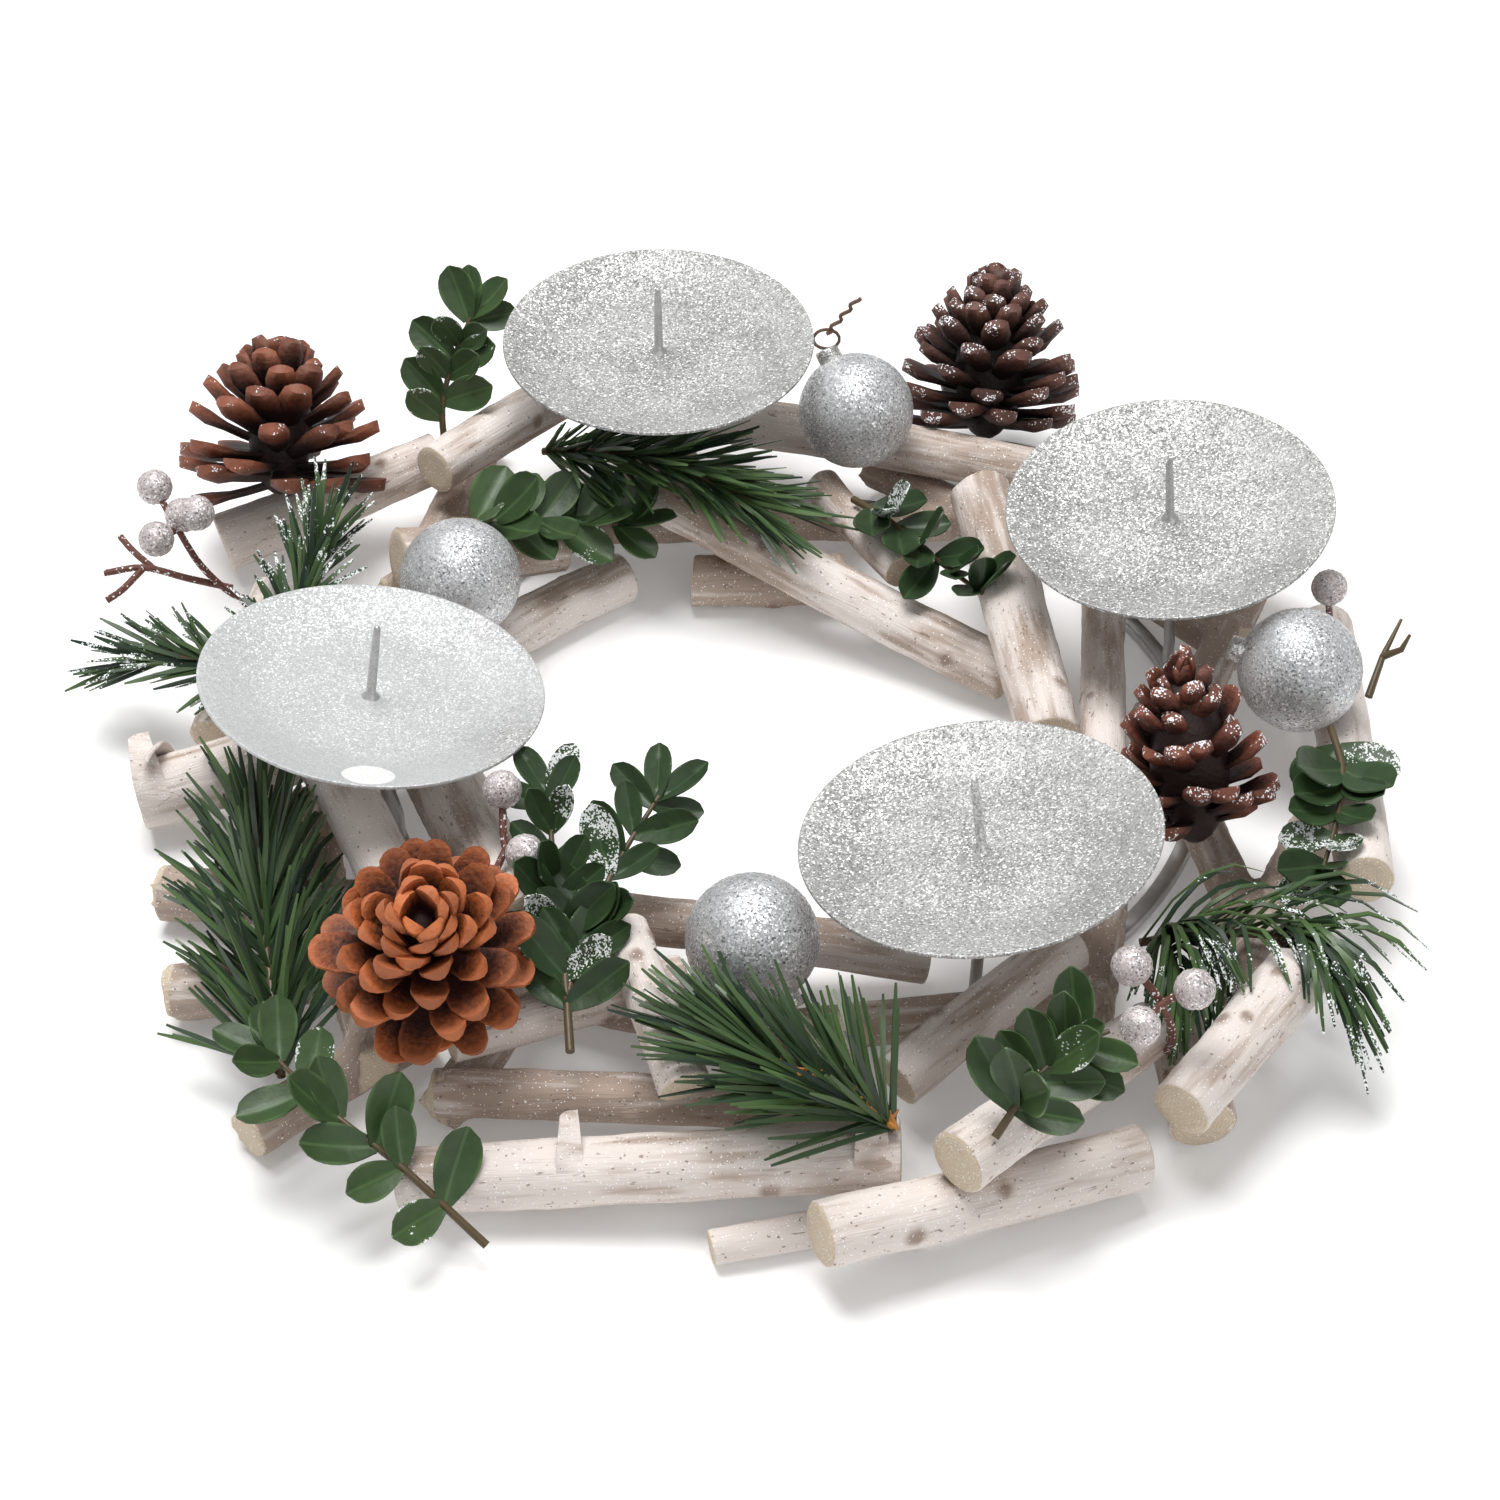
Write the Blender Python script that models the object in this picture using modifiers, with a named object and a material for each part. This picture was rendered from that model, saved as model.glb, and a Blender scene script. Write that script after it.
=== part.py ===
"""Advent wreath: whitewashed birch sticks built round a welded steel frame that carries four candle
dishes, dressed with pine cones, glittered baubles and berries, box sprays and pine sprays.

Lengths in the tables are millimetres and become metres when a node is made. +Z is up and the frame
lies on the table at z = 0. Plan places are measured from the centre of the frame's hoop.
"""

import math
import random

import bmesh
import bpy
from mathutils import Matrix, Vector
from mathutils.bvhtree import BVHTree

# Driving dimensions
MM = 0.001
OUTLINE_CENTRE = (-17, -19)  # middle of the whole outline, seen from the hoop's centre
CLEAR = 0.35  # gap kept between pieces that touch

HOOP_RADIUS = 100
HOOP_SIDES = 32
HOOP_WIDTH = 4.0
HOOP_HEIGHT = 3.0
LEG_RADIUS = 1.4
SPIKE_RADIUS = 1.3
SPIKE_LENGTH = 20
SHOULDER_RADIUS = 3.2
SHOULDER_HEIGHT = 1.2

DISH_RADIUS = 40
DISH_FLOOR_RADIUS = 26
DISH_DEPTH = 4.2
DISH_SHEET = 0.8
DISH_HOLE_RADIUS = 1.9
DISH_SIDES = 24

# Middle of each dish's floor, and its lean in degrees about X and Y
DISHES = {
    "candle_dish_back": ((-34, 96, 53.5), (1.5, 0.2)),
    "candle_dish_right": ((92, 30, 50), (4.3, -5.2)),
    "candle_dish_left": ((-98, -35, 48), (-5.0, 8.0)),
    "candle_dish_front": ((40, -91, 52), (-3.0, -7.0)),
}

# The lowest sticks, each laid across the one before: plan of both ends, radius at both ends
UNDER_STICKS = {
    "sticks_under_back": [
        ((-104, 52), (-26, 111), 6.0, 5.8),
        ((-76, 76), (44, 84), 6.0, 5.6),
        ((22, 108), (60, 68), 5.8, 5.6),
        ((-98, 48), (-82, 124), 6.4, 6.6),
    ],
    "sticks_under_right": [
        ((64, 82), (114, 30), 5.8, 6.0),
        ((120, 56), (88, -24), 6.2, 5.8),
        ((86, 0), (106, -80), 5.8, 6.2),
        ((124, -34), (98, -106), 6.4, 6.2),
    ],
    "sticks_under_front": [
        ((72, -62), (60, -124), 6.0, 6.2),
        ((70, -99), (-20, -106), 5.8, 6.0),
        ((14, -113), (-66, -88), 6.0, 5.6),
        ((-48, -72), (-78, -128), 6.2, 6.4),
        ((-80, -127), (12, -127), 6.2, 6.4),
    ],
    "sticks_under_left": [
        ((-120, -134), (-82, -100), 6.8, 6.4),
        ((-92, -118), (-117, -24), 6.2, 6.0),
        ((-142, -91), (-84, -92), 7.4, 6.6),
        ((-148, -58), (-92, -72), 7.2, 6.4),
        ((-111, -46), (-98, 30), 6.0, 6.2),
        ((-138, 44), (-94, 14), 6.6, 6.0),
    ],
}
# The sticks above in the order they were laid: plan of both ends, radius at both ends
STICKS = {
    "stick_front_stub": ((-19, -164), (25, -154), 4.2, 4.6),
    "stick_front_log": ((4, -171), (74, -142), 7.8, 7.6),
    "stick_front_long": ((-86, -149), (22, -148), 8.0, 8.6),
    "stick_front_inner": ((-50, -83), (30, -82), 6.0, 6.2),
    "stick_right_front_end": ((88, -133), (84, -97), 8.4, 7.4),
    "stick_right_outer": ((135, 38), (130, -70), 7.6, 7.0),
    "stick_right_back": ((132, 50), (55, 109), 7.6, 7.2),
    "stick_right_hole_side": ((74, -44), (47, -77), 6.8, 7.0),
    "stick_right_upright": ((80, 50), (73, -34), 6.0, 5.8),
    "stick_back_outer": ((-44, 128), (68, 81), 7.4, 7.0),
    "stick_back_left_inner": ((-76, 33), (-43, 61), 7.4, 7.2),
    "stick_back_slab": ((-26, 59), (14, 60), 7.3, 6.9),
    "stick_back_inner": ((-36, 73), (54, 19), 7.8, 7.4),
    "stick_right_inner": ((49, 72), (61, -22), 8.8, 8.2),
    "stick_back_cross": ((8, 86), (28, 44), 5.2, 5.0),
    "stick_left_back_end": ((-148, 71), (-92, 93), 8.4, 7.0),
    "stick_left_back_tan": ((-99, 44), (-58, 60), 8.2, 7.4),
    "stick_back_left_middle": ((-92, 76), (-48, 128), 7.2, 7.0),
    "stick_left_outer": ((-128, 36), (-140, -10), 7.4, 7.4),
    "stick_left_knot": ((-157, -29), (-117, -20), 9.2, 8.4),
    "stick_left_inner": ((-90, -8), (-60, -94), 9.8, 10.0),
    "stick_left_light": ((-122, -18), (-90, -80), 6.8, 7.6),
    "stick_front_middle": ((-76, -120), (-25, -101), 6.0, 5.8),
    "stick_front_cross": ((-38, -98), (-24, -139), 5.4, 6.2),
    "stick_right_front_pale": ((110, -104), (81, -142), 8.0, 7.4),
    "stick_front_top": ((32, -163), (78, -114), 7.6, 7.0),
    "stick_front_light": ((21, -127), (62, -94), 6.8, 6.6),
}
STICK_STATIONS = 4
STICK_BEVEL = 2  # bevel resolution, for 8 sides
UNDER_STICK_BEVEL = 1  # for 6 sides
STICK_BOW_SHARE = 0.02
FLAT_SHARE = 0.9  # how near its axis the flats of a faceted bar lie
STICK_SINK = 6.0  # how far joined sticks run into each other
STEEPEST = 0.2  # rise over run of the steepest stick
SLOPE_TRIALS = 20  # slopes tried each way
BALL_SPACING = 2.0
HOOP_BALLS = 240
HOOP_BALL_HEIGHT = 1.4
HOOP_BALL_RADIUS = 2.2

BAUBLE_RADIUS = 15
# Plan of the middle, and the way the cap points
BAUBLES = {
    "bauble_front": ((-10, -99), (0.5, -0.6, -0.6)),
    "bauble_right": ((121, -8), (-1.0, 0.2, 0.25)),
    "bauble_back": ((17, 91), (-0.45, 0.5, 0.75)),
    "bauble_left": ((-82, 28), (-0.6, 0.2, -0.7)),
}
CAP_RADIUS = 3.2
CAP_HEIGHT = 3.0
BAUBLE_DROP_FROM = 35  # height a bauble is lowered from

# Plan of the base, the way the tip points, height, width, scale count, how far the scales open
CONES = {
    "pine_cone_left_back": ((-132, 74), (0.02, 0.62, 0.8), 42, 58, 26, 1.0),
    "pine_cone_back": ((53, 112), (0.05, 0.42, 0.9), 50, 54, 26, 0.7),
    "pine_cone_front": ((-80, -109), (0.03, -0.45, 0.9), 44, 55, 26, 0.9),
    "pine_cone_right": ((93, -54), (-0.12, 0.4, 0.9), 52, 46, 25, 0.5),
}
GOLDEN_TURN = math.radians(137.5)
SCALE_THICK = 1.8
CONE_DROP_FROM = 60  # height a cone is lowered from

BERRY_RADIUS = 4.6
# Berry middles, then the stems as lists of points, all before they are lowered
BERRIES = {
    "berries_left": (
        [(-159, 50, 51), (-157, 34, 47), (-147, 38, 52), (-152, 45, 46)],
        [
            [(-159, 50, 51), (-153, 42, 44), (-148, 40, 34), (-141, 41, 24), (-134, 42, 21)],
            [(-157, 34, 47), (-153, 42, 44), (-147, 38, 52)],
            [(-152, 45, 46), (-153, 42, 44)],
        ],
    ),
    "berries_right": (
        [(70, -126, 55), (83, -131, 53), (71, -139, 50)],
        [
            [(70, -126, 55), (76, -129, 48), (80, -127, 36), (80, -123, 26)],
            [(71, -139, 50), (77, -130, 48), (83, -131, 53)],
        ],
    ),
    "berries_hole": (
        [(-60, -86, 46), (-66, -67, 48)],
        [[(-60, -86, 46), (-65, -78, 40), (-66, -67, 48)], [(-65, -78, 40), (-68, -85, 37)]],
    ),
    "berries_right_back": ([(131, 19, 48)], [[(131, 19, 48), (132, 21, 40), (134, 24, 30)]]),
}
BERRY_STEM_RADIUS = 1.2

SPRAY_STEM_BEVEL = 0  # bevel resolution, for 4 sides
LEAF_THICK = 0.8
LEAF_BENDS = (0, 15, 30, 45, 60, 75)  # degrees tried in turn until a leaf is clear
BOX_STEM_RADIUS = 1.1
# For each stem of a spray: its points before it is lowered on to the sticks, leaf pairs, leaf length, width
BOX_SPRAYS = {
    "box_spray_back_left": [([(-90, 92, 30), (-91, 98, 42), (-88, 105, 53), (-83, 113, 62)], 4, 21, 13)],
    "box_spray_back_hole": [([(-86, 54, 42), (-73, 53, 42), (-59, 57, 39), (-42, 61, 35)], 4, 22, 14)],
    "box_spray_right_hole": [([(16, 68, 26), (25, 56, 28), (36, 42, 27), (47, 28, 27)], 4, 19, 11)],
    "box_spray_front_hole": [
        ([(-49, -130, 22), (-51, -108, 27), (-54, -84, 31), (-56, -62, 36)], 3, 24, 14),
        ([(-50, -116, 25), (-46, -98, 29), (-39, -80, 33), (-31, -66, 38)], 3, 22, 13),
    ],
    "box_spray_front_left": [
        ([(-66, -165, 3), (-84, -153, 14), (-100, -142, 20), (-114, -126, 21)], 4, 23, 14),
    ],
    "box_spray_right": [([(127, -24, 36), (128, -38, 35), (125, -53, 33), (120, -68, 30)], 4, 21, 14)],
    "box_spray_front_right": [([(40, -161, 22), (48, -153, 30), (56, -147, 34), (64, -144, 36)], 4, 21, 13)],
}

NEEDLE_RADIUS = 0.8
NEEDLE_ROLLS = (-10, 8, 26, 55)  # degrees a needle stands over its stem
NEEDLE_BENDS = (0, 12, 26, 42, 60)  # degrees tried in turn until a needle is clear
PINE_STEM_RADIUS = 1.2
# For each stem of a spray: its points before it is lowered, needle count, needle length
PINE_SPRAYS = {
    "pine_spray_left": [([(-113, -122, 22), (-117, -100, 28), (-121, -78, 32), (-124, -54, 32)], 34, 32)],
    "pine_spray_left_back": [
        ([(-124, 4, 24), (-138, 3, 26), (-150, 7, 26), (-160, 10, 23)], 16, 26),
        ([(-124, 4, 24), (-123, 18, 26), (-120, 30, 32), (-117, 40, 38)], 12, 22),
    ],
    "pine_spray_back": [([(-64, 82, 24), (-48, 76, 28), (-30, 68, 30), (-10, 57, 26)], 28, 28)],
    "pine_spray_front": [([(20, -150, 26), (10, -145, 30), (-2, -139, 32), (-12, -132, 32)], 30, 30)],
    "pine_spray_right": [
        ([(77, -88, 40), (89, -86, 41), (102, -86, 41), (115, -87, 40)], 2, 36),
        ([(82, -85, 40), (83, -92, 41), (84, -99, 40)], 10, 32),
        ([(95, -84, 41), (96, -91, 41), (97, -98, 40)], 10, 32),
        ([(108, -85, 40), (110, -91, 40), (112, -98, 39)], 10, 32),
    ],
}

# Base colour, roughness and metallic of each kind
COLOURS = {
    "steel": ((0.46, 0.46, 0.45, 1), 0.35, 1.0),
    "glitter": ((0.62, 0.63, 0.63, 1), 0.45, 0.6),
    "birch": ((0.66, 0.61, 0.57, 1), 0.8, 0.0),
    "cone": ((0.26, 0.09, 0.04, 1), 0.6, 0.0),
    "berry": ((0.62, 0.52, 0.51, 1), 0.5, 0.3),
    "box": ((0.05, 0.13, 0.05, 1), 0.45, 0.0),
    "pine": ((0.02, 0.07, 0.035, 1), 0.5, 0.0),
}

for leftover in list(bpy.data.objects):
    bpy.data.objects.remove(leftover, do_unlink=True)

wreath = bpy.data.collections.new("advent_wreath")
bpy.context.scene.collection.children.link(wreath)
chance = random.Random(24)


def material(kind):
    found = bpy.data.materials.get(kind)
    if found:
        return found
    made = bpy.data.materials.new(kind)
    made.use_nodes = True
    surface = made.node_tree.nodes["Principled BSDF"]
    colour, roughness, metallic = COLOURS[kind]
    surface.inputs["Base Color"].default_value = colour
    surface.inputs["Roughness"].default_value = roughness
    surface.inputs["Metallic"].default_value = metallic
    return made


# Shapes below are bmeshes in millimetres, measured from the hoop's centre


def ring_profile(profile, steps):
    """A closed profile of (radius, height) turned round Z."""
    data = bpy.data.meshes.new("profile")
    edges = [(i, (i + 1) % len(profile)) for i in range(len(profile))]
    data.from_pydata([(r, 0, z) for r, z in profile], edges, [])
    turned = bpy.data.objects.new("profile", data)
    bpy.context.scene.collection.objects.link(turned)
    screw = turned.modifiers.new("Turn", "SCREW")
    screw.steps = screw.render_steps = steps
    screw.use_merge_vertices = True
    screw.merge_threshold = 0.0001
    shape = evaluated(turned)
    bpy.data.objects.remove(turned)
    return shape


def evaluated(source):
    """The bmesh of an object as its modifiers or its bevel make it, with loose caps welded."""
    bpy.context.view_layer.update()
    graph = bpy.context.evaluated_depsgraph_get()
    data = bpy.data.meshes.new_from_object(source.evaluated_get(graph))
    shape = bmesh.new()
    shape.from_mesh(data)
    bmesh.ops.remove_doubles(shape, verts=shape.verts, dist=0.0001)
    bmesh.ops.recalc_face_normals(shape, faces=shape.faces)
    bpy.data.meshes.remove(data)
    return shape


def tube(points, radii, resolution=1):
    """A round bar along the points, as a bevelled curve with filled caps."""
    curve = bpy.data.curves.new("bar", "CURVE")
    curve.dimensions = "3D"
    curve.bevel_depth = 1.0
    curve.bevel_resolution = resolution
    curve.use_fill_caps = True
    spline = curve.splines.new("POLY")
    spline.points.add(len(points) - 1)
    for knot, point, radius in zip(spline.points, points, radii):
        knot.co = (*point, 1)
        knot.radius = radius
    bar = bpy.data.objects.new("bar", curve)
    bpy.context.scene.collection.objects.link(bar)
    shape = evaluated(bar)
    bpy.data.objects.remove(bar)
    return shape


def turn_to(direction):
    """A rotation that takes +Z to the direction."""
    return Vector(direction).normalized().to_track_quat("Z", "Y").to_matrix().to_4x4()


def frame_along(direction, up):
    """A rotation that takes +X to the direction, with +Z as near to up as it can be."""
    x = Vector(direction).normalized()
    y = Vector(up).cross(x).normalized()
    return Matrix((x, y, x.cross(y))).transposed().to_4x4()


def rod(start, end, radius_start, radius_end, segments):
    """A straight tapered rod from start to end."""
    shape = bmesh.new()
    along = Vector(end) - Vector(start)
    bmesh.ops.create_cone(
        shape, cap_ends=True, segments=segments, radius1=radius_start, radius2=radius_end, depth=along.length
    )
    shape.transform(Matrix.Translation((Vector(start) + Vector(end)) / 2) @ turn_to(along))
    return shape


def ball(middle, radius, segments, rings):
    shape = bmesh.new()
    bmesh.ops.create_uvsphere(shape, u_segments=segments, v_segments=rings, radius=radius)
    shape.transform(Matrix.Translation(middle))
    return shape


def smooth_path(points, steps):
    """Points along a smooth curve through the given ones."""
    ends = [points[0] * 2 - points[1], *points, points[-1] * 2 - points[-2]]
    path = []
    for before, start, end, after in zip(ends, ends[1:], ends[2:], ends[3:]):
        for step in range(steps):
            t = step / steps
            path.append(
                0.5 * (2 * start + (end - before) * t + (2 * before - 5 * start + 4 * end - after) * t * t
                       + (3 * start - before - 3 * end + after) * t ** 3)
            )
    return path + [points[-1]]


def largest_body(shape):
    """Drops loose scraps and sealed hollows that joining may leave."""
    left = set(shape.faces)
    bodies = []
    while left:
        body = {left.pop()}
        edge = list(body)
        while edge:
            for side in edge.pop().edges:
                for face in side.link_faces:
                    if face in left:
                        left.remove(face)
                        body.add(face)
                        edge.append(face)
        bodies.append(body)
    keep = max(bodies, key=len)
    if len(bodies) > 1:
        print("  dropped bodies of", [len(body) for body in bodies if body is not keep], "faces")
    scraps = [face for body in bodies if body is not keep for face in body]
    bmesh.ops.delete(shape, geom=scraps, context="FACES")
    return shape


def fuse(shapes):
    """One closed body from overlapping shapes."""
    if len(shapes) == 1:
        return shapes[0]
    pieces = bpy.data.collections.new("pieces")
    bpy.context.scene.collection.children.link(pieces)
    helpers = []
    for shape in shapes:
        data = bpy.data.meshes.new("piece")
        shape.to_mesh(data)
        helpers.append(bpy.data.objects.new("piece", data))
    base = helpers[0]
    bpy.context.scene.collection.objects.link(base)
    for helper in helpers[1:]:
        pieces.objects.link(helper)
    join = base.modifiers.new("Join", "BOOLEAN")
    join.operation = "UNION"
    join.operand_type = "COLLECTION"
    join.collection = pieces
    join.solver = "MANIFOLD"
    joined = evaluated(base)
    for helper in helpers:
        bpy.data.objects.remove(helper)
    bpy.data.collections.remove(pieces)
    return largest_body(joined)


def surface_of(shape):
    return BVHTree.FromBMesh(shape)


def touches(shape, others):
    tree = surface_of(shape)
    return any(tree.overlap(other) for other in others)


nodes = {}  # name: surface of each finished node


def add_node(name, shape, kind):
    """Makes the node's object, with its origin at the middle of its plan, and keeps its surface."""
    nodes[name] = surface_of(shape)
    low = Vector([min(v.co[i] for v in shape.verts) for i in range(3)])
    high = Vector([max(v.co[i] for v in shape.verts) for i in range(3)])
    middle = Vector(((low.x + high.x) / 2, (low.y + high.y) / 2, low.z))
    shape.transform(Matrix.Scale(MM, 4) @ Matrix.Translation(-middle))
    data = bpy.data.meshes.new(name)
    shape.to_mesh(data)
    data.materials.append(material(kind))
    data.shade_smooth()
    data.set_sharp_from_angle(angle=math.radians(35))
    node = bpy.data.objects.new(name, data)
    node.location = (middle - Vector((*OUTLINE_CENTRE, 0))) * MM
    wreath.objects.link(node)
    return node


# Frame and dishes


def dish_axis(lean):
    """Way up of a dish that leans by degrees about X and Y."""
    about_x = Matrix.Rotation(math.radians(lean[0]), 3, "X")
    about_y = Matrix.Rotation(math.radians(lean[1]), 3, "Y")
    return about_y @ about_x @ Vector((0, 0, 1))


def welded_frame():
    """The hoop, with a leg up to each dish, a shoulder under it and a spike through it."""
    half = HOOP_WIDTH / 2
    outer, inner = HOOP_RADIUS + half, HOOP_RADIUS - half
    shapes = [ring_profile([(outer, HOOP_HEIGHT), (outer, 0), (inner, 0), (inner, HOOP_HEIGHT)], HOOP_SIDES)]
    for middle, lean in DISHES.values():
        floor = Vector(middle)
        axis = dish_axis(lean)
        foot = Vector((floor.x, floor.y, 0)).normalized() * HOOP_RADIUS
        seat = floor - axis * (DISH_SHEET + CLEAR)
        leg_top = seat - axis * SHOULDER_HEIGHT / 2
        points = [foot + Vector((0, 0, 1)), foot + Vector((0, 0, 8)), leg_top - axis * 8, leg_top]
        shapes.append(tube(points, [LEG_RADIUS] * 4))
        shapes.append(rod(seat - axis * SHOULDER_HEIGHT, seat, SHOULDER_RADIUS, SHOULDER_RADIUS, 8))
        shoulder_point = floor + axis * SPIKE_LENGTH * 0.7
        shapes.append(rod(seat - axis * 0.6, shoulder_point, SPIKE_RADIUS, SPIKE_RADIUS * 0.9, 6))
        point = floor + axis * SPIKE_LENGTH
        shapes.append(rod(shoulder_point - axis * 0.3, point, SPIKE_RADIUS * 0.85, 0.25, 6))
    return fuse(shapes)


def dish():
    """A shallow sheet dish with a hole in its floor, its floor's top at z = 0."""
    top = [(DISH_HOLE_RADIUS, 0), (DISH_FLOOR_RADIUS, 0), (DISH_RADIUS, DISH_DEPTH)]
    under = [(r + (0.4 if r > DISH_FLOOR_RADIUS else 0), z - DISH_SHEET) for r, z in reversed(top)]
    return ring_profile(top + under, DISH_SIDES)


add_node("steel_frame", welded_frame(), "steel")
for dish_name, (dish_middle, dish_lean) in DISHES.items():
    sheet = dish()
    sheet.transform(Matrix.Translation(dish_middle) @ turn_to(dish_axis(dish_lean)))
    add_node(dish_name, sheet, "glitter")


# Sticks

laid = []  # balls (point, radius, owner) that fill everything the next stick can rest on
for step in range(HOOP_BALLS):
    bearing = math.tau * step / HOOP_BALLS
    middle = Vector((HOOP_RADIUS * math.cos(bearing), HOOP_RADIUS * math.sin(bearing), HOOP_BALL_HEIGHT))
    laid.append((middle, HOOP_BALL_RADIUS, "hoop"))


def stick_axis(start, end, radius_start, radius_end):
    """Stations along a stick in plan, with its natural bow and uneven thickness."""
    start, end = Vector((*start, 0)), Vector((*end, 0))
    along = end - start
    bow = Vector((-along.y, along.x, 0)) * STICK_BOW_SHARE * chance.uniform(-1, 1)
    points, radii = [], []
    for station in range(STICK_STATIONS):
        t = station / (STICK_STATIONS - 1)
        points.append(start.lerp(end, t) + bow * 4 * t * (1 - t))
        radii.append((radius_start + (radius_end - radius_start) * t) * chance.uniform(0.94, 1.0))
    return points, radii


def rest(points, radii, owner):
    """Heights at both ends of a stick that lies on what was laid before it, balanced at its middle."""
    samples = []
    for (a, b), (ra, rb) in zip(zip(points, points[1:]), zip(radii, radii[1:])):
        steps = max(1, int((b - a).length / BALL_SPACING))
        samples += [(a.lerp(b, i / steps), ra + (rb - ra) * i / steps) for i in range(steps)]
    samples.append((points[-1], radii[-1]))
    need = []
    for point, radius in samples:
        height = radius
        for other, other_radius, other_owner in laid:
            reach = FLAT_SHARE * (radius + other_radius) + (-STICK_SINK if other_owner == owner else CLEAR)
            gap = (other.xy - point.xy).length_squared
            if gap < reach * reach:
                height = max(height, other.z + math.sqrt(reach * reach - gap))
        need.append(height)
    last = len(samples) - 1
    length = (points[-1] - points[0]).length
    steepest = STEEPEST * length / last
    slopes = [steepest * trial / SLOPE_TRIALS for trial in range(-SLOPE_TRIALS, SLOPE_TRIALS + 1)]
    lines = [(max(z - slope * k for k, z in enumerate(need)), slope) for slope in slopes]
    base, slope = min(lines, key=lambda line: line[0] + line[1] * last / 2)
    for k, (point, radius) in enumerate(samples):
        laid.append((Vector((point.x, point.y, base + slope * k)), radius, owner))
    return base, base + slope * last


def lowered(shape, drop_from=0):
    """Lifts a shape by drop_from, lowers it until it would touch, and leaves it just clear."""
    others = list(nodes.values())
    shape.transform(Matrix.Translation((0, 0, drop_from)))
    moved = 0
    for step in (2.0, 0.5, 0.1):
        while min(v.co.z for v in shape.verts) > step and not touches(shape, others):
            shape.transform(Matrix.Translation((0, 0, -step)))
            moved -= step
        while touches(shape, others):
            shape.transform(Matrix.Translation((0, 0, step)))
            moved += step
    shape.transform(Matrix.Translation((0, 0, CLEAR)))
    return moved + CLEAR


def laid_stick(owner, stick, bevel):
    """The bar of one stick at its resting height."""
    points, radii = stick_axis(*stick)
    z_start, z_end = rest(points, radii, owner)
    for station, point in enumerate(points):
        point.z = z_start + (z_end - z_start) * station / (STICK_STATIONS - 1)
    print(f"{owner} rests at {z_start:.1f} and {z_end:.1f}")
    return tube(points, radii, bevel)


def add_sticks(name, sticks, bevel):
    """One node of one or more sticks, seated on what lies under them."""
    shape = fuse([laid_stick(name, stick, bevel) for stick in sticks])
    drop = lowered(shape)
    for middle, _, owner in laid:
        if owner == name:
            middle.z += drop
    add_node(name, shape, "birch")


for group_name, group in UNDER_STICKS.items():
    add_sticks(group_name, group, UNDER_STICK_BEVEL)

for stick_name, stick in STICKS.items():
    add_sticks(stick_name, [stick], STICK_BEVEL)


# Baubles, cones and berries


def bauble(cap_direction):
    cap = Vector(cap_direction).normalized()
    shapes = [ball((0, 0, 0), BAUBLE_RADIUS, 14, 8)]
    cap_root, cap_top = cap * (BAUBLE_RADIUS - 1), cap * (BAUBLE_RADIUS + CAP_HEIGHT)
    shapes.append(rod(cap_root, cap_top, CAP_RADIUS, CAP_RADIUS, 8))
    return fuse(shapes)


def cone_scale(length, width, lift):
    """One scale: narrow and thick at its root, broad at its tip, curling up."""
    shape = bmesh.new()
    bmesh.ops.create_cube(shape, size=1)
    for v in shape.verts:
        tip = v.co.x > 0
        v.co.x = length if tip else 0
        v.co.y *= width if tip else width * 0.45
        v.co.z = v.co.z * SCALE_THICK * (1.0 if tip else 1.6) + (length * 0.12 if tip else 0)
    shape.transform(Matrix.Rotation(-lift, 4, "Y"))
    return shape


def pine_cone(height, width, count, openness):
    """A slim core with tongue-like scales on the golden angle, flat at the base and upright at the tip."""
    closed = 1 - openness
    core_radius = width * (0.15 + 0.12 * closed)
    core = ball((0, 0, 0), 1, 8, 6)
    egg = Matrix.Diagonal((core_radius, core_radius, height * 0.38, 1))
    core.transform(Matrix.Translation((0, 0, height * 0.38)) @ egg)
    shapes = [core]
    for i in range(count):
        f = i / (count - 1)
        z = height * (0.08 + (0.54 + 0.10 * closed) * f)
        lift = math.radians(-8 + 34 * closed + (80 - 22 * closed) * f ** 1.1)
        length = width / 2 * (1 - 0.5 * f)
        scale = cone_scale(length, width * (0.20 - 0.05 * f), lift)
        scale.transform(Matrix.Translation((0, 0, z)) @ Matrix.Rotation(i * GOLDEN_TURN, 4, "Z"))
        shapes.append(scale)
    return fuse(shapes)


for bauble_name, (bauble_place, cap_direction) in BAUBLES.items():
    shape = bauble(cap_direction)
    shape.transform(Matrix.Translation((*bauble_place, 0)))
    lowered(shape, BAUBLE_DROP_FROM)
    add_node(bauble_name, shape, "glitter")

for cone_name, (cone_place, tip, height, width, count, openness) in CONES.items():
    shape = pine_cone(height, width, count, openness)
    shape.transform(Matrix.Translation((*cone_place, 0)) @ turn_to(tip))
    lowered(shape, CONE_DROP_FROM)
    add_node(cone_name, shape, "cone")


# Sprays


def lowered_stems(stems, radius):
    """Smooth paths of a spray's stems and their bars, lowered together on to what lies under them."""
    paths = [smooth_path([Vector(point) for point in points], 2) for points in stems]
    bars = []
    for path in paths:
        taper = [radius * (1.1 - 0.4 * i / len(path)) for i in range(len(path))]
        bars.append(tube(path, taper, SPRAY_STEM_BEVEL))
    both = fuse([bar.copy() for bar in bars])
    drop = Vector((0, 0, lowered(both)))
    for bar in bars:
        bar.transform(Matrix.Translation(drop))
    return [[point + drop for point in path] for path in paths], bars


def roomy(shape, others):
    return min(v.co.z for v in shape.verts) > 0.5 and not touches(shape, others)


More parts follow.
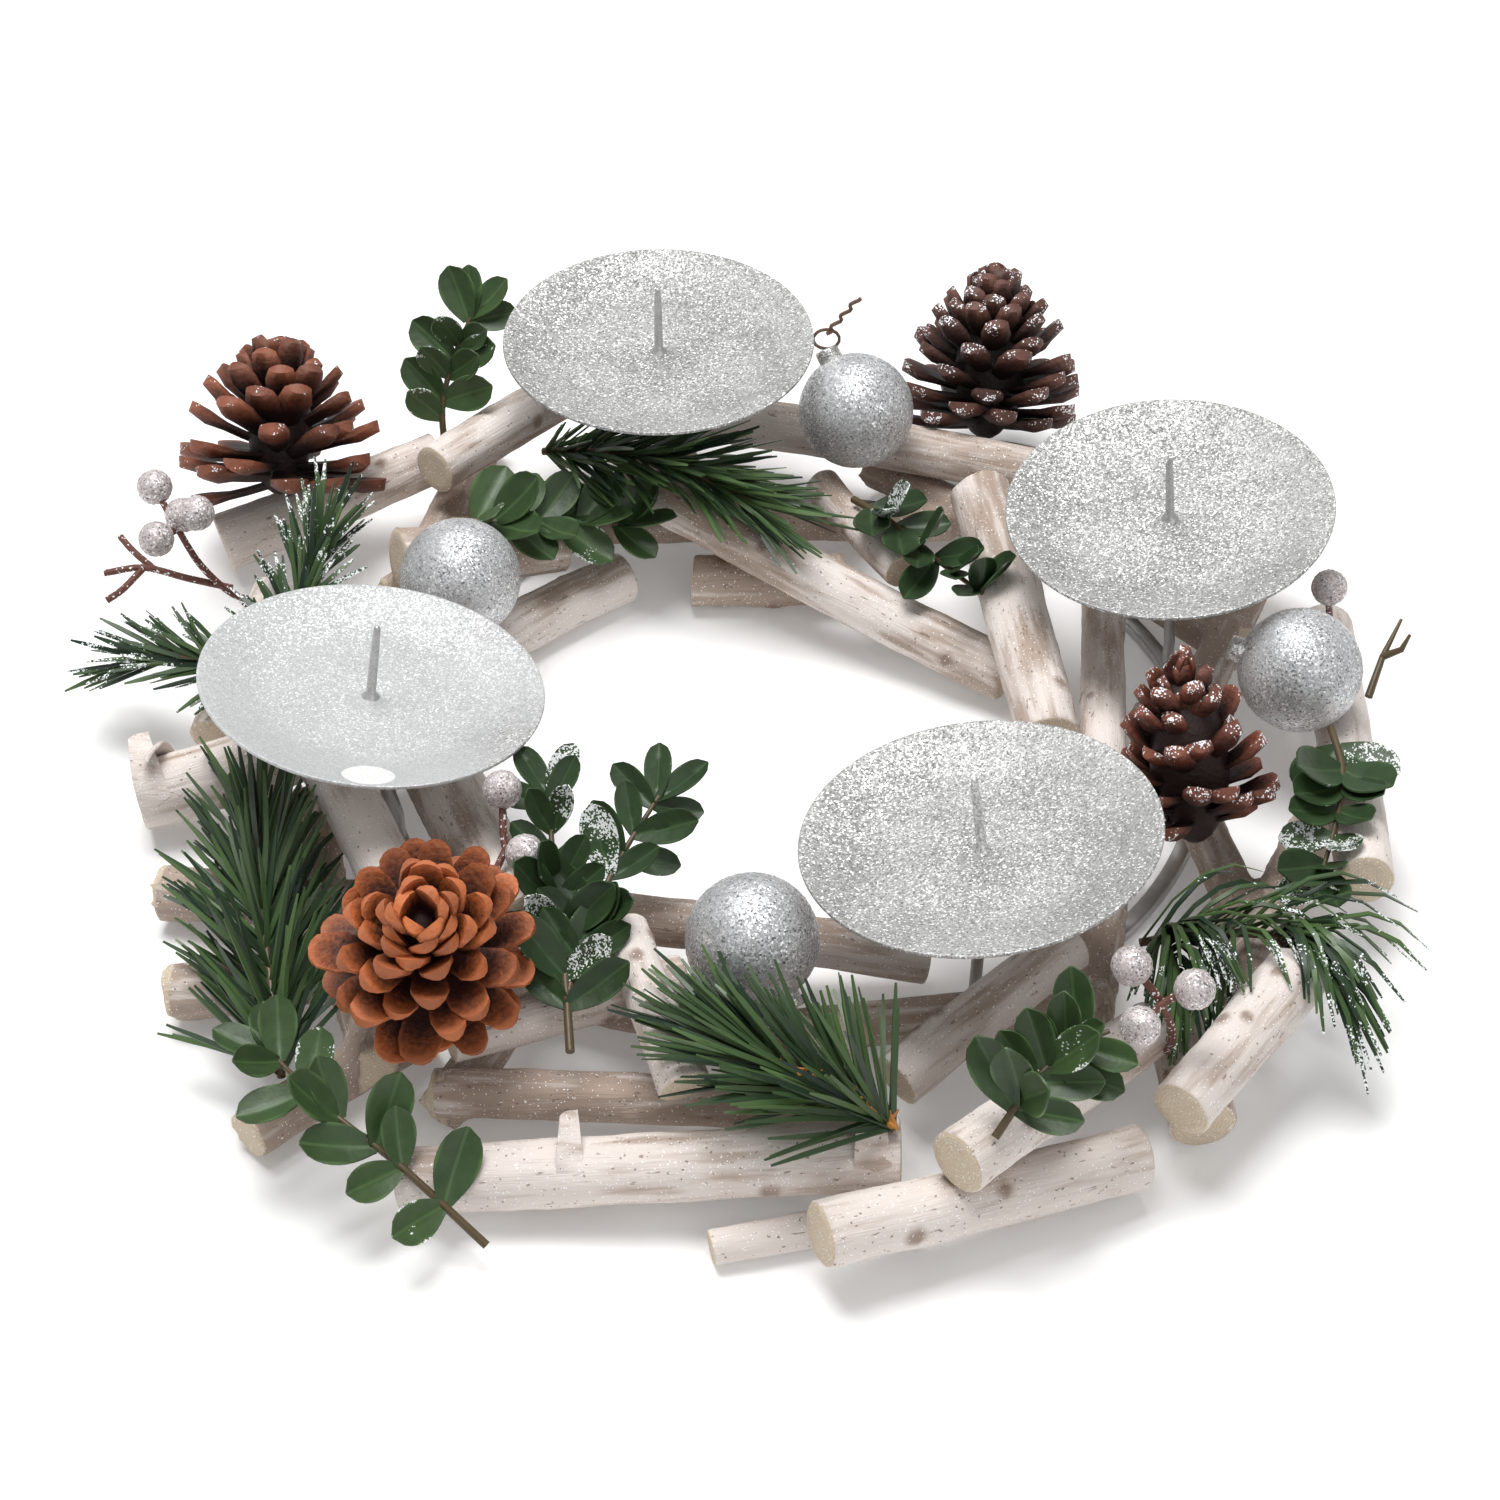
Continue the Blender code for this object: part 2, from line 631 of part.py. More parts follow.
def leaf(length, width, thick):
    """A cupped blade from its stalk at the origin along +X, widest past its middle."""
    shape = bmesh.new()
    bmesh.ops.create_grid(shape, x_segments=3, y_segments=2, size=1)
    for v in shape.verts:
        t = (v.co.x + 1) / 2
        half = width / 2 * math.sin(math.pi * t ** 1.25) ** 0.75 if 0 < t < 0.999 else 0
        v.co = (length * t, v.co.y * half, abs(v.co.y) * half * 0.22 + length * 0.10 * t * t)
    bmesh.ops.remove_doubles(shape, verts=shape.verts, dist=0.001)
    bmesh.ops.triangulate(shape, faces=shape.faces)
    bmesh.ops.recalc_face_normals(shape, faces=shape.faces)
    bmesh.ops.solidify(shape, geom=shape.faces, thickness=thick)
    bmesh.ops.recalc_face_normals(shape, faces=shape.faces)
    return shape


def box_leaf(root, direction, up, length, width, others):
    """A leaf bent up until it is clear of the other nodes, or nothing."""
    for bend in LEAF_BENDS:
        aim = (direction.normalized() + up * math.tan(math.radians(bend))).normalized()
        place = Matrix.Translation(root) @ frame_along(aim, up if abs(aim.dot(up)) < 0.95 else -direction)
        trial = leaf(length * 1.04, width * 1.1, LEAF_THICK + 2 * CLEAR)
        trial.transform(place)
        if roomy(trial, others):
            blade = leaf(length, width, LEAF_THICK)
            blade.transform(place)
            return blade
    return None


def leaves(path, pairs, length, width, others):
    """Pairs of leaves up a stem, every second pair turned, and one leaf at its tip."""
    found = []
    last = len(path) - 1
    for pair in range(pairs):
        k = min(last - 1, round(last * (0.22 + 0.68 * pair / (pairs - 1))))
        forward = (path[k + 1] - path[k - 1]).normalized()
        side = forward.cross(Vector((0, 0, 1))).normalized()
        up = side.cross(forward).normalized()
        for sign in (1, -1):
            roll = math.radians(chance.uniform(5, 35) + (25 if pair % 2 else 0))
            out = (side * sign * math.cos(roll) + up * math.sin(roll)).normalized()
            aim = out + forward * chance.uniform(0.6, 1.0)
            size = chance.uniform(0.85, 1.0)
            blade = box_leaf(path[k] - aim.normalized() * 0.4, aim, up, length * size, width * size, others)
            if blade:
                found.append(blade)
    forward = (path[-1] - path[-3]).normalized()
    up = forward.cross(Vector((0, 0, 1))).cross(forward).normalized()
    blade = box_leaf(path[-1] - forward, forward, up, length * 0.9, width * 0.85, others)
    if blade:
        found.append(blade)
    print(f"  {len(found)} of {2 * pairs + 1} leaves")
    return found


def box_spray(stems):
    others = list(nodes.values())
    paths, shapes = lowered_stems([points for points, _, _, _ in stems], BOX_STEM_RADIUS)
    for path, (_, pairs, length, width) in zip(paths, stems):
        shapes += leaves(path, pairs, length, width, others)
    return fuse(shapes)


def needles(path, count, length, others):
    """Flat plastic needles fanned to both sides of a stem and over it, each bent up until it is clear."""
    found = []
    last = len(path) - 1
    for i in range(count):
        t = 0.06 + 0.94 * i / (count - 1)
        k = min(last - 1, int(t * last))
        root = path[k].lerp(path[k + 1], t * last - k)
        forward = (path[k + 1] - path[k]).normalized()
        side = forward.cross(Vector((0, 0, 1))).normalized()
        up = side.cross(forward).normalized()
        sign = 1 if i % 2 else -1
        roll = math.radians(chance.choice(NEEDLE_ROLLS))
        spread = math.radians(chance.uniform(30, 52) * (1.15 - 0.6 * t))
        reach = length * chance.uniform(0.8, 1.0)
        for bend in NEEDLE_BENDS:
            tilt = roll + math.radians(bend)
            out = side * sign * math.cos(tilt) + up * math.sin(tilt)
            aim = forward * math.cos(spread) + out * math.sin(spread)
            tip = root + aim * reach
            if roomy(rod(root, tip, NEEDLE_RADIUS + CLEAR, 2 * CLEAR, 6), others):
                found.append(rod(root - aim * 0.3, tip, NEEDLE_RADIUS, 0, 3))
                break
    print(f"  {len(found)} of {count} needles")
    return found


def pine_spray(stems):
    others = list(nodes.values())
    paths, shapes = lowered_stems([points for points, _, _ in stems], PINE_STEM_RADIUS)
    for path, (_, count, length) in zip(paths, stems):
        shapes += needles(path, count, length, others)
    return fuse(shapes)


for berries_name, (middles, stems) in BERRIES.items():
    shapes = [ball(middle, BERRY_RADIUS, 8, 5) for middle in middles]
    for stem in stems:
        path = smooth_path([Vector(point) for point in stem], 2)
        shapes.append(tube(path, [BERRY_STEM_RADIUS] * len(path)))
    cluster = fuse(shapes)
    print(f"{berries_name} lowered {lowered(cluster):.1f}")
    add_node(berries_name, cluster, "berry")

for spray_name, stems in BOX_SPRAYS.items():
    print(spray_name)
    add_node(spray_name, box_spray(stems), "box")

for spray_name, stems in PINE_SPRAYS.items():
    print(spray_name)
    add_node(spray_name, pine_spray(stems), "pine")
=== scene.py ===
# %% [markdown]
# # An advent wreath, dressed for its photograph
#
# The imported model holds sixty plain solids: a welded steel frame with four candle dishes, birch
# sticks, baubles, pine cones, berries and two kinds of artificial green. This lesson gives each of
# them the finish of the real thing. Every new piece stands exactly where its solid is, and takes
# its size from it.

import math
import random

import bmesh
import bpy
import numpy as np
from mathutils import Matrix, Vector, noise
from mathutils.bvhtree import BVHTree


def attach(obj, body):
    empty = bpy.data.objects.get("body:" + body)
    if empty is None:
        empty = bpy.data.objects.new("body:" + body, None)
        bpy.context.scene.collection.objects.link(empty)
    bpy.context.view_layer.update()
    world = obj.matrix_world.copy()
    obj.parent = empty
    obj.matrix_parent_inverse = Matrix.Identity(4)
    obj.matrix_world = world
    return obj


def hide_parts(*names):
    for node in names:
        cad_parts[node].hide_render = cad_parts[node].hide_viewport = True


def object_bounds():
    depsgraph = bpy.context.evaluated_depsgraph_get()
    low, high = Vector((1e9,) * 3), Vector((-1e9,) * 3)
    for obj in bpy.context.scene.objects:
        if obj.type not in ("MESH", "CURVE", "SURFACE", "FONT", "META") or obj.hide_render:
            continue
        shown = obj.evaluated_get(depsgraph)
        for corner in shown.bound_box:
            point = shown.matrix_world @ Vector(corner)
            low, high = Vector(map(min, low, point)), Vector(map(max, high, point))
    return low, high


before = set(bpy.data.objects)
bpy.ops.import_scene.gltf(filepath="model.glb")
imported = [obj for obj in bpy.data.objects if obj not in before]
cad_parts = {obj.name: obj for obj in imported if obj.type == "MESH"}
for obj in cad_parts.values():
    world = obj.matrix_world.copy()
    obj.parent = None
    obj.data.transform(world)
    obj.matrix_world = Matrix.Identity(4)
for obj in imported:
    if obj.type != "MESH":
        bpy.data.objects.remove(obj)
cad_low, cad_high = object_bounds()
box = [round(1000 * (high - low)) for low, high in zip(cad_low, cad_high)]
print("solids:", len(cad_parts), "box:", box, "mm")

# %% [markdown]
# ## Units and places
#
# Small things are easier to think of in millimetres. Everything below is modelled in millimetres
# from the centre of the frame's hoop, and goes to metres in the part's own frame at the very end.

# %% Millimetres from the hoop's centre
HOOP_CENTRE = np.array((17.0, 19.0, 0.0))  # in the part's frame
MM = 0.001
TO_FRAME = Matrix.Scale(MM, 4) @ Matrix.Translation(HOOP_CENTRE)
UP = (0, 0, 1)
chance = random.Random(7)


def corners(node):
    """Every corner of a CAD solid once."""
    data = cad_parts[node].data
    flat = np.empty(len(data.vertices) * 3)
    data.vertices.foreach_get("co", flat)
    return np.unique((flat.reshape(-1, 3) / MM - HOOP_CENTRE).round(3), axis=0)


def corners_near(node, plan, reach):
    """The corners that lie within reach of a spot, seen from above."""
    points = corners(node)
    return points[np.hypot(*(points[:, :2] - plan).T) < reach]


def moved(points, matrix):
    """Points carried by a 4 by 4 matrix."""
    turn = np.array(matrix)
    return points @ turn[:3, :3].T + turn[:3, 3]


def upright(place, way):
    """The matrix that stands +Z along a way, at a place."""
    return Matrix.Translation(place) @ Vector(way).to_track_quat("Z", "Y").to_matrix().to_4x4()


def unit(vector):
    return vector / np.linalg.norm(vector)


def columns(*values):
    """Columns of numbers side by side. A single number fills its whole column."""
    return np.stack(np.broadcast_arrays(*values), 1)


print("the front log has", len(corners("stick_front_log")), "corners")

# %% [markdown]
# ## Working with operators
#
# Blender's operators act on whatever is selected. So each step starts with nothing selected, and a
# modifier is applied as soon as it is set, which keeps the finished mesh in plain sight. A modelled
# shape is then read out as points and triangles, because hundreds of copies are quickest as numbers.

# %% Selecting, editing and applying


def deselect():
    """Leaves edit mode and selects nothing."""
    if bpy.context.mode != "OBJECT":
        bpy.ops.object.mode_set(mode="OBJECT")
    bpy.ops.object.select_all(action="DESELECT")


def pick(piece):
    """Makes one piece the selected and active one."""
    deselect()
    piece.select_set(True)
    bpy.context.view_layer.objects.active = piece


def edit_all(piece):
    """Opens a piece in edit mode with all of it selected."""
    pick(piece)
    bpy.ops.object.mode_set(mode="EDIT")
    bpy.ops.mesh.select_all(action="SELECT")


def choose(piece, kind, test):
    """In edit mode, selects only the faces or edges that pass a test."""
    bpy.ops.mesh.select_mode(type=kind)
    bpy.ops.mesh.select_all(action="DESELECT")
    shape = bmesh.from_edit_mesh(piece.data)
    for item in shape.faces if kind == "FACE" else shape.edges:
        item.select = test(item)
    bmesh.update_edit_mesh(piece.data)


def applied(piece, kind, **settings):
    """Adds a modifier with its settings and applies it."""
    pick(piece)
    modifier = piece.modifiers.new(kind.title(), kind)
    for name, value in settings.items():
        setattr(modifier, name, value)
    bpy.ops.object.modifier_apply(modifier=modifier.name)


def triangles(piece):
    """Points and triangles of a modelled shape, which is then removed."""
    deselect()
    shape = bmesh.new()
    shape.from_mesh(piece.data)
    bmesh.ops.triangulate(shape, faces=shape.faces)
    points = np.array([v.co for v in shape.verts])
    faces = np.array([[v.index for v in f.verts] for f in shape.faces])
    shape.free()
    bpy.data.objects.remove(piece)
    return points, faces


def marked_as(shape, values):
    """A shape with the same three marks at each of its points."""
    points, faces = shape
    return points, faces, np.tile(values, (len(points), 1))


print("modelling helpers are ready")

# %% [markdown]
# ## From shapes to a piece
#
# A bunch of berries or needles is many small shapes glued into one. Each shape carries three marks
# at every point, such as how near a cone scale's tip it is, and the material reads them. So one
# material can colour scale, rim and stalk without any picture.

# %% Settling a piece in the frame
SMOOTH_ANGLE = math.radians(50)


def settle(node, ending, copies, paint, slot, **more_marks):
    """Joins (points, triangles, marks) into one piece, which stands for its CAD solid in the frame."""
    starts = np.cumsum([0, *(len(points) for points, _, _ in copies)])
    points = np.vstack([points for points, _, _ in copies])
    faces = np.vstack([faces + start for (_, faces, _), start in zip(copies, starts)])
    stored = {"marks": np.vstack([marks for _, _, marks in copies]), **more_marks}
    data = bpy.data.meshes.new(node + ending)
    data.from_pydata(points.tolist(), [], faces.tolist())
    for name, values in stored.items():
        attribute = data.attributes.new(name, "FLOAT_VECTOR", "POINT")
        attribute.data.foreach_set("vector", values.astype(np.float32).ravel())
    data.transform(TO_FRAME)
    data.materials.append(paint)
    piece = bpy.data.objects.new(node + ending, data)
    bpy.context.scene.collection.objects.link(piece)
    pick(piece)
    bpy.ops.object.shade_smooth_by_angle(angle=SMOOTH_ANGLE)
    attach(piece, "root")
    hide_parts(node)
    return len(faces)


print("pieces ride on root")

# %% [markdown]
# ## Materials as expressions
#
# Procedural materials are sums and products of patterns. A small class wraps a socket, so that
# `streaks * 0.4 + specks` writes the Math nodes, and one method makes every other node.

# %% Sockets that add and multiply
WHITE = (1, 1, 1)


class Socket:
    """A material socket that can be used in a sum like a number."""

    def __init__(self, paint, socket):
        self.paint = paint
        self.socket = socket

    def maths(self, operation, first, second):
        return self.paint.node("ShaderNodeMath", {"operation": operation}, {0: first, 1: second})

    def __add__(self, other):
        return self.maths("ADD", self, other)

    def __sub__(self, other):
        return self.maths("SUBTRACT", self, other)

    def __rsub__(self, other):
        return self.maths("SUBTRACT", other, self)

    def __mul__(self, other):
        return self.maths("MULTIPLY", self, other)

    def __pow__(self, other):
        return self.maths("POWER", self, other)

    def __gt__(self, other):
        return self.maths("GREATER_THAN", self, other)

    def __lt__(self, other):
        return self.maths("LESS_THAN", self, other)

    __radd__ = __add__
    __rmul__ = __mul__


class Paint:
    """A Principled material whose other nodes come from one method. Colours are three numbers."""

    def __init__(self, name, **constants):
        self.material = bpy.data.materials.new(name)
        self.material.use_nodes = True
        self.tree = self.material.node_tree
        self.surface = self.tree.nodes["Principled BSDF"]
        self.wear(**constants)

    def node(self, kind, settings, sockets, output=0):
        made = self.tree.nodes.new(kind)
        for name, value in settings.items():
            setattr(made, name, value)
        for name, value in sockets.items():
            self.feed(made.inputs[name], value)
        return Socket(self, made.outputs[output])

    def feed(self, socket, value):
        if isinstance(value, Socket):
            self.tree.links.new(value.socket, socket)
        else:
            socket.default_value = (*value, 1) if socket.type == "RGBA" else value

    def wear(self, **sockets):
        for name, value in sockets.items():
            self.feed(self.surface.inputs[name.replace("_", " ")], value)
        return self.material

    def place(self):
        return self.node("ShaderNodeTexCoord", {}, {}, "Object")

    def marked(self, name):
        return self.node("ShaderNodeAttribute", {"attribute_name": name}, {}, "Vector")

    def part(self, vector, axis):
        return self.node("ShaderNodeSeparateXYZ", {}, {0: vector}, axis)

    def marks(self):
        vector = self.marked("marks")
        return [self.part(vector, axis) for axis in range(3)]

    def vector(self, operation, first, second, output="Vector"):
        return self.node("ShaderNodeVectorMath", {"operation": operation}, {0: first, 1: second}, output)

    def clouds(self, vector, scale, detail=2.0):
        return self.node("ShaderNodeTexNoise", {}, {"Vector": vector, "Scale": scale, "Detail": detail})

    def streaks(self, vector, scales, detail):
        """Clouds with a scale of their own along each axis."""
        return self.clouds(self.vector("MULTIPLY", vector, scales), 1.0, detail)

    def grains(self, vector, scale, output="Color"):
        return self.node("ShaderNodeTexVoronoi", {}, {"Vector": vector, "Scale": scale}, output)

    def ease(self, value, low, high):
        sockets = {"Value": value, "From Min": low, "From Max": high}
        return self.node("ShaderNodeMapRange", {"interpolation_type": "SMOOTHSTEP"}, sockets)

    def mix(self, share, first, second):
        return self.node("ShaderNodeMix", {"data_type": "RGBA"}, {0: share, 6: first, 7: second}, 2)

    def bump(self, height, distance, strength):
        sockets = {"Height": height, "Distance": distance, "Strength": strength}
        return self.node("ShaderNodeBump", {}, sockets)


def scaled(colour, share):
    return tuple(share * c for c in colour)


print("material tools are ready")

# %% [markdown]
# ## Silver glitter
#
# Glitter is thousands of tiny foil flakes glued on at all angles. One Voronoi cell stands for one
# flake: its random colour is a painted reflection, the light that the flake throws back, from near
# black to white glints, and a slope inside the cell tips it like a flake.
# Real flakes would need millions of faces, and this looks the same from a step away. Where glitter
# has only been dusted on, a flake shows if its number is under the local cover.

# %% Flakes of glitter
FLAKES = 1 / 0.00038  # flakes side by side in a metre
# Flake values above the first are painted white as glints, and below the second are painted near black as
# flakes turned away from the light
SPARK_OVER = 0.91
UNLIT_FLAKE_UNDER = 0.06


def flake_slope(paint, at, colour):
    """A normal that is tipped another way on every flake."""
    offset = paint.vector("SUBTRACT", at, paint.grains(at, FLAKES, "Position"))
    lean = paint.vector("SUBTRACT", colour, (0.5, 0.5, 0.5))
    return paint.bump(paint.vector("DOT_PRODUCT", offset, lean, "Value"), 1.0, 0.55)


def silver(name, tint, low, high):
    """Glitter glued all over, in a tint, its flakes coloured as painted reflections from darkest to
    brightest.
    """
    paint = Paint(name, Metallic=0.35)
    at = paint.place()
    flake = paint.grains(at, FLAKES)
    bright = paint.part(flake, 0)
    # Painted reflection: each flake's colour stands for the light it throws back
    shade = bright * 0.75 + paint.ease(paint.clouds(at, 60), 0.3, 0.7) * 0.25
    colour = paint.mix(shade, scaled(tint, low), scaled(tint, high))
    # Painted glints: the brightest flakes are coloured white
    colour = paint.mix(bright > SPARK_OVER, colour, WHITE)
    # Painted shade: the darkest flakes are coloured near black, as if turned away from the light
    colour = paint.mix(bright < UNLIT_FLAKE_UNDER, colour, scaled(tint, 0.2))
    return paint, colour, flake_slope(paint, at, flake), bright


def frost(paint, at, cover, thinned):
    """1 on the flakes that stick where cover is high, thinned out by a share."""
    flake = paint.grains(at, FLAKES)
    return (paint.part(flake, 0) < cover) * (paint.part(flake, 1) > thinned)


paint, colour, slope, bright = silver("dish_glitter", (1.0, 1.0, 0.98), 0.20, 0.62)
dish_glitter = paint.wear(Base_Color=colour, Roughness=0.66 - bright * 0.3, Normal=slope)
print("glitter:", dish_glitter.name)

# %% [markdown]
# ## Whitewashed birch
#
# The sticks are thin birch branches with a coat of thin white paint. The paint is worn off in
# streaks that run along the branch, small dark specks show through it, and the sawn ends are bare
# tan wood with rings. A pattern that follows a branch needs coordinates that follow it too, so
# every stick carries a mark called grain: how far along it a point lies, and where round it.

# %% The paint of the sticks
BARK_DARK = (0.22, 0.14, 0.10)


def birch():
    """Whitewash over brown bark, with tan sawn ends. Marks are sawn end, knot and tone."""
    paint = Paint("whitewashed_birch")
    grain = paint.marked("grain")
    sawn, knot, tone = paint.marks()
    streaks = paint.streaks(grain, (45, 420, 420), 4)
    patches = paint.streaks(grain, (30, 90, 90), 4)
    fibres = paint.streaks(grain, (160, 2400, 2400), 2)
    worn = paint.ease(streaks * 0.7 + patches * 0.9 + tone, 0.82, 1.08)
    chalk = paint.mix(patches, (0.80, 0.74, 0.70), (0.60, 0.52, 0.47))
    bark = paint.mix(streaks, (0.24, 0.16, 0.115), (0.42, 0.32, 0.25))
    colour = paint.mix(worn * 0.85, chalk, bark)
    specks = paint.ease(paint.streaks(grain, (330, 950, 950), 4), 0.66, 0.74)
    colour = paint.mix(specks * 0.7, colour, BARK_DARK)
    flecks = paint.part(paint.grains(grain, 2300), 0) > 0.992
    colour = paint.mix(flecks * 0.7, colour, (0.14, 0.09, 0.07))
    colour = paint.mix(paint.ease(knot, 0.15, 0.85) * 0.8, colour, BARK_DARK)
    across = paint.part(grain, 1)
    up = paint.part(grain, 2)
    radius = (across * across + up * up) ** 0.5
    rings = paint.node("ShaderNodeMath", {"operation": "SINE"}, {0: (radius + patches * 0.0012) * 7500})
    tan = paint.mix(rings * 0.22 + 0.5, (0.50, 0.39, 0.27), (0.66, 0.56, 0.43))
    tan = paint.mix(paint.ease(fibres, 0.35, 0.75) * 0.6, tan, (0.72, 0.64, 0.54))
    colour = paint.mix(paint.ease(sawn, 0.35, 0.65), colour, tan)
    silver_dust = paint.part(paint.grains(grain, 4200), 2) > 0.982
    colour = paint.mix(silver_dust, colour, WHITE)
    relief = paint.bump(streaks * 0.6 + fibres * 0.25 - specks * 0.3, 0.0009, 0.8)
    return paint.wear(Base_Color=colour, Roughness=0.82 - silver_dust * 0.5, Normal=relief)


whitewash = birch()
print("paint:", whitewash.name)

# %% [markdown]
# ## One blank for all the sticks
#
# A branch starts as a cylinder. Its two ends are inset for the rim of the saw cut, and its long
# edges are subdivided together, which cuts it into short rings that can swell and bend.

# %% Model the blank
BLANK_SIDES = 32
BLANK_CUTS = 43
RIM_INSETS = (0.07, 0.3, 0.3)  # rim of bark, then two rings of wood


def stick_blank():
    """A unit cylinder along Z with rimmed ends and many rings."""
    deselect()
    bpy.ops.mesh.primitive_cylinder_add(vertices=BLANK_SIDES, radius=1, depth=1, end_fill_type="NGON")
    blank = bpy.context.active_object
    bpy.ops.object.mode_set(mode="EDIT")
    for thickness in RIM_INSETS:
        choose(blank, "FACE", lambda face: len(face.verts) > 4)
        bpy.ops.mesh.inset(thickness=thickness, depth=0)
    bpy.ops.mesh.poke()
    choose(blank, "EDGE", lambda edge: abs(edge.verts[0].co.z - edge.verts[1].co.z) > 0.5)
    bpy.ops.mesh.subdivide(number_cuts=BLANK_CUTS)
    return triangles(blank)


BLANK = stick_blank()
print("blank:", len(BLANK[0]), "points,", len(BLANK[1]), "triangles")

# %% [markdown]
# ## Curls of bark
#
# Birch bark is thin and springs off in curls where a saw or a knife has lifted it. A curl is a
# small grid wrapped round the stick, which stands further off towards its free end.

# %% Peels
PEEL_SHEET = 0.5
# Share of the stick's length, width in mm, first and last angle round the stick in degrees
PEELS = {
    "stick_front_long": ((0.94, 8.0, 20, 110), (0.35, 6.0, 40, 120)),
    "stick_left_knot": ((0.12, 8.0, 20, 120), (0.2, 7.0, 175, 80)),
}


def peel(middle, way, up, radius, width, first, last):
    """A thin curl of bark that lifts away from the stick more and more."""
    deselect()
    bpy.ops.mesh.primitive_grid_add(x_subdivisions=22, y_subdivisions=6, size=2)
    sheet = bpy.context.active_object
    side = np.cross(way, up)
    for v in sheet.data.vertices:
        share = (v.co.x + 1) / 2
        across = v.co.y / 2
        angle = math.radians(first + (last - first) * share + 18 * across)
        reach = radius * (0.9 + 0.8 * share**2) + 0.3 * math.sin(9 * share + 5 * across)
        narrow = width * (1 - 0.45 * share**2)
        outward = side * math.cos(angle) + up * math.sin(angle)
        v.co = Vector(middle + way * across * narrow + outward * reach)
    applied(sheet, "SOLIDIFY", thickness=PEEL_SHEET, offset=0)
    return triangles(sheet)


print("sticks with curls:", len(PEELS))

# %% [markdown]
# ## Bend the blank along a branch
#
# The solid of a stick has four rings of corners. Their middles give the branch's line, and their
# distances from it give its thickness. The blank is laid along that line, and slow noise, a few
# knots and slightly crooked saw cuts take away its machined look.

# %% Sticks with bark
STATIONS = 4
BARK_SHARE = 0.95  # of the solid's radius, so that the bark's bumps stay inside it
KNOTS = 3
SLANT = 0.22  # most that a saw cut leans, as a share of the thickness
CUT_REACH = 4.0  # how far from its end a stick is drawn along with the slant, in mm
RIM = 0.97  # share of the radius where the sawn wood ends
RIM_BACK = 0.45  # how far the edge of the bark stands back behind the sawn wood, in mm
PLAIN_TONE = 0.04
# Brown tone of the sticks that are darker or paler than the rest in the photograph
# Part of these tones is painted shade: the back slab is darkest because it lies in the shade of the stick
# over it
TONES = {
    "back_slab": 0.34, "back_inner": 0.16, "right_upright": 0.02, "back_outer": 0.12, "right_inner": 0.1,
    "left_back_tan": 0.26, "left_inner": 0.12, "back_left_middle": 0.14, "front_inner": 0.16,
    "back_cross": 0.1, "front_middle": 0.1, "left_light": 0.02,
}


def branch_line(node):
    """Middles and radii of the four rings of a stick's solid."""
    points = corners(node)
    middle = points.mean(0)
    axis = np.linalg.svd(points - middle)[2][0]
    rings = points[np.argsort((points - middle) @ axis)].reshape(STATIONS, -1, 3)
    middles = rings.mean(1)
    return middles, np.linalg.norm(rings - middles[:, None], axis=2).mean(1)


def bark_bumps(share, angle, thick, length):
    """How much each point of a stick swells, how near a knot it is, and where its noise was read."""
    seed = Vector([chance.uniform(0, 90) for _ in range(3)])
    limits = ((0.12, 0.88), (0, math.tau), (2.0, 3.4))  # share of the length, angle, size in mm
    knots = [[chance.uniform(*pair) for pair in limits] for _ in range(KNOTS)]
    swell = np.empty(len(share))
    knotty = np.zeros(len(share))
    for i, (t, a, r) in enumerate(zip(share, angle, thick)):
        spot = Vector((t * length / 14, math.cos(a) * r / 6, math.sin(a) * r / 6)) + seed
        swell[i] = 0.055 * noise.noise(spot) + 0.03 * noise.noise(spot * 3.1)
        for knot_share, knot_angle, size in knots:
            turn = (a - knot_angle + math.pi) % math.tau - math.pi
            far = ((t - knot_share) * length / size) ** 2 + (turn * r / size) ** 2
            knotty[i] = max(knotty[i], math.exp(-far * 1.6))
    return swell, knotty, seed


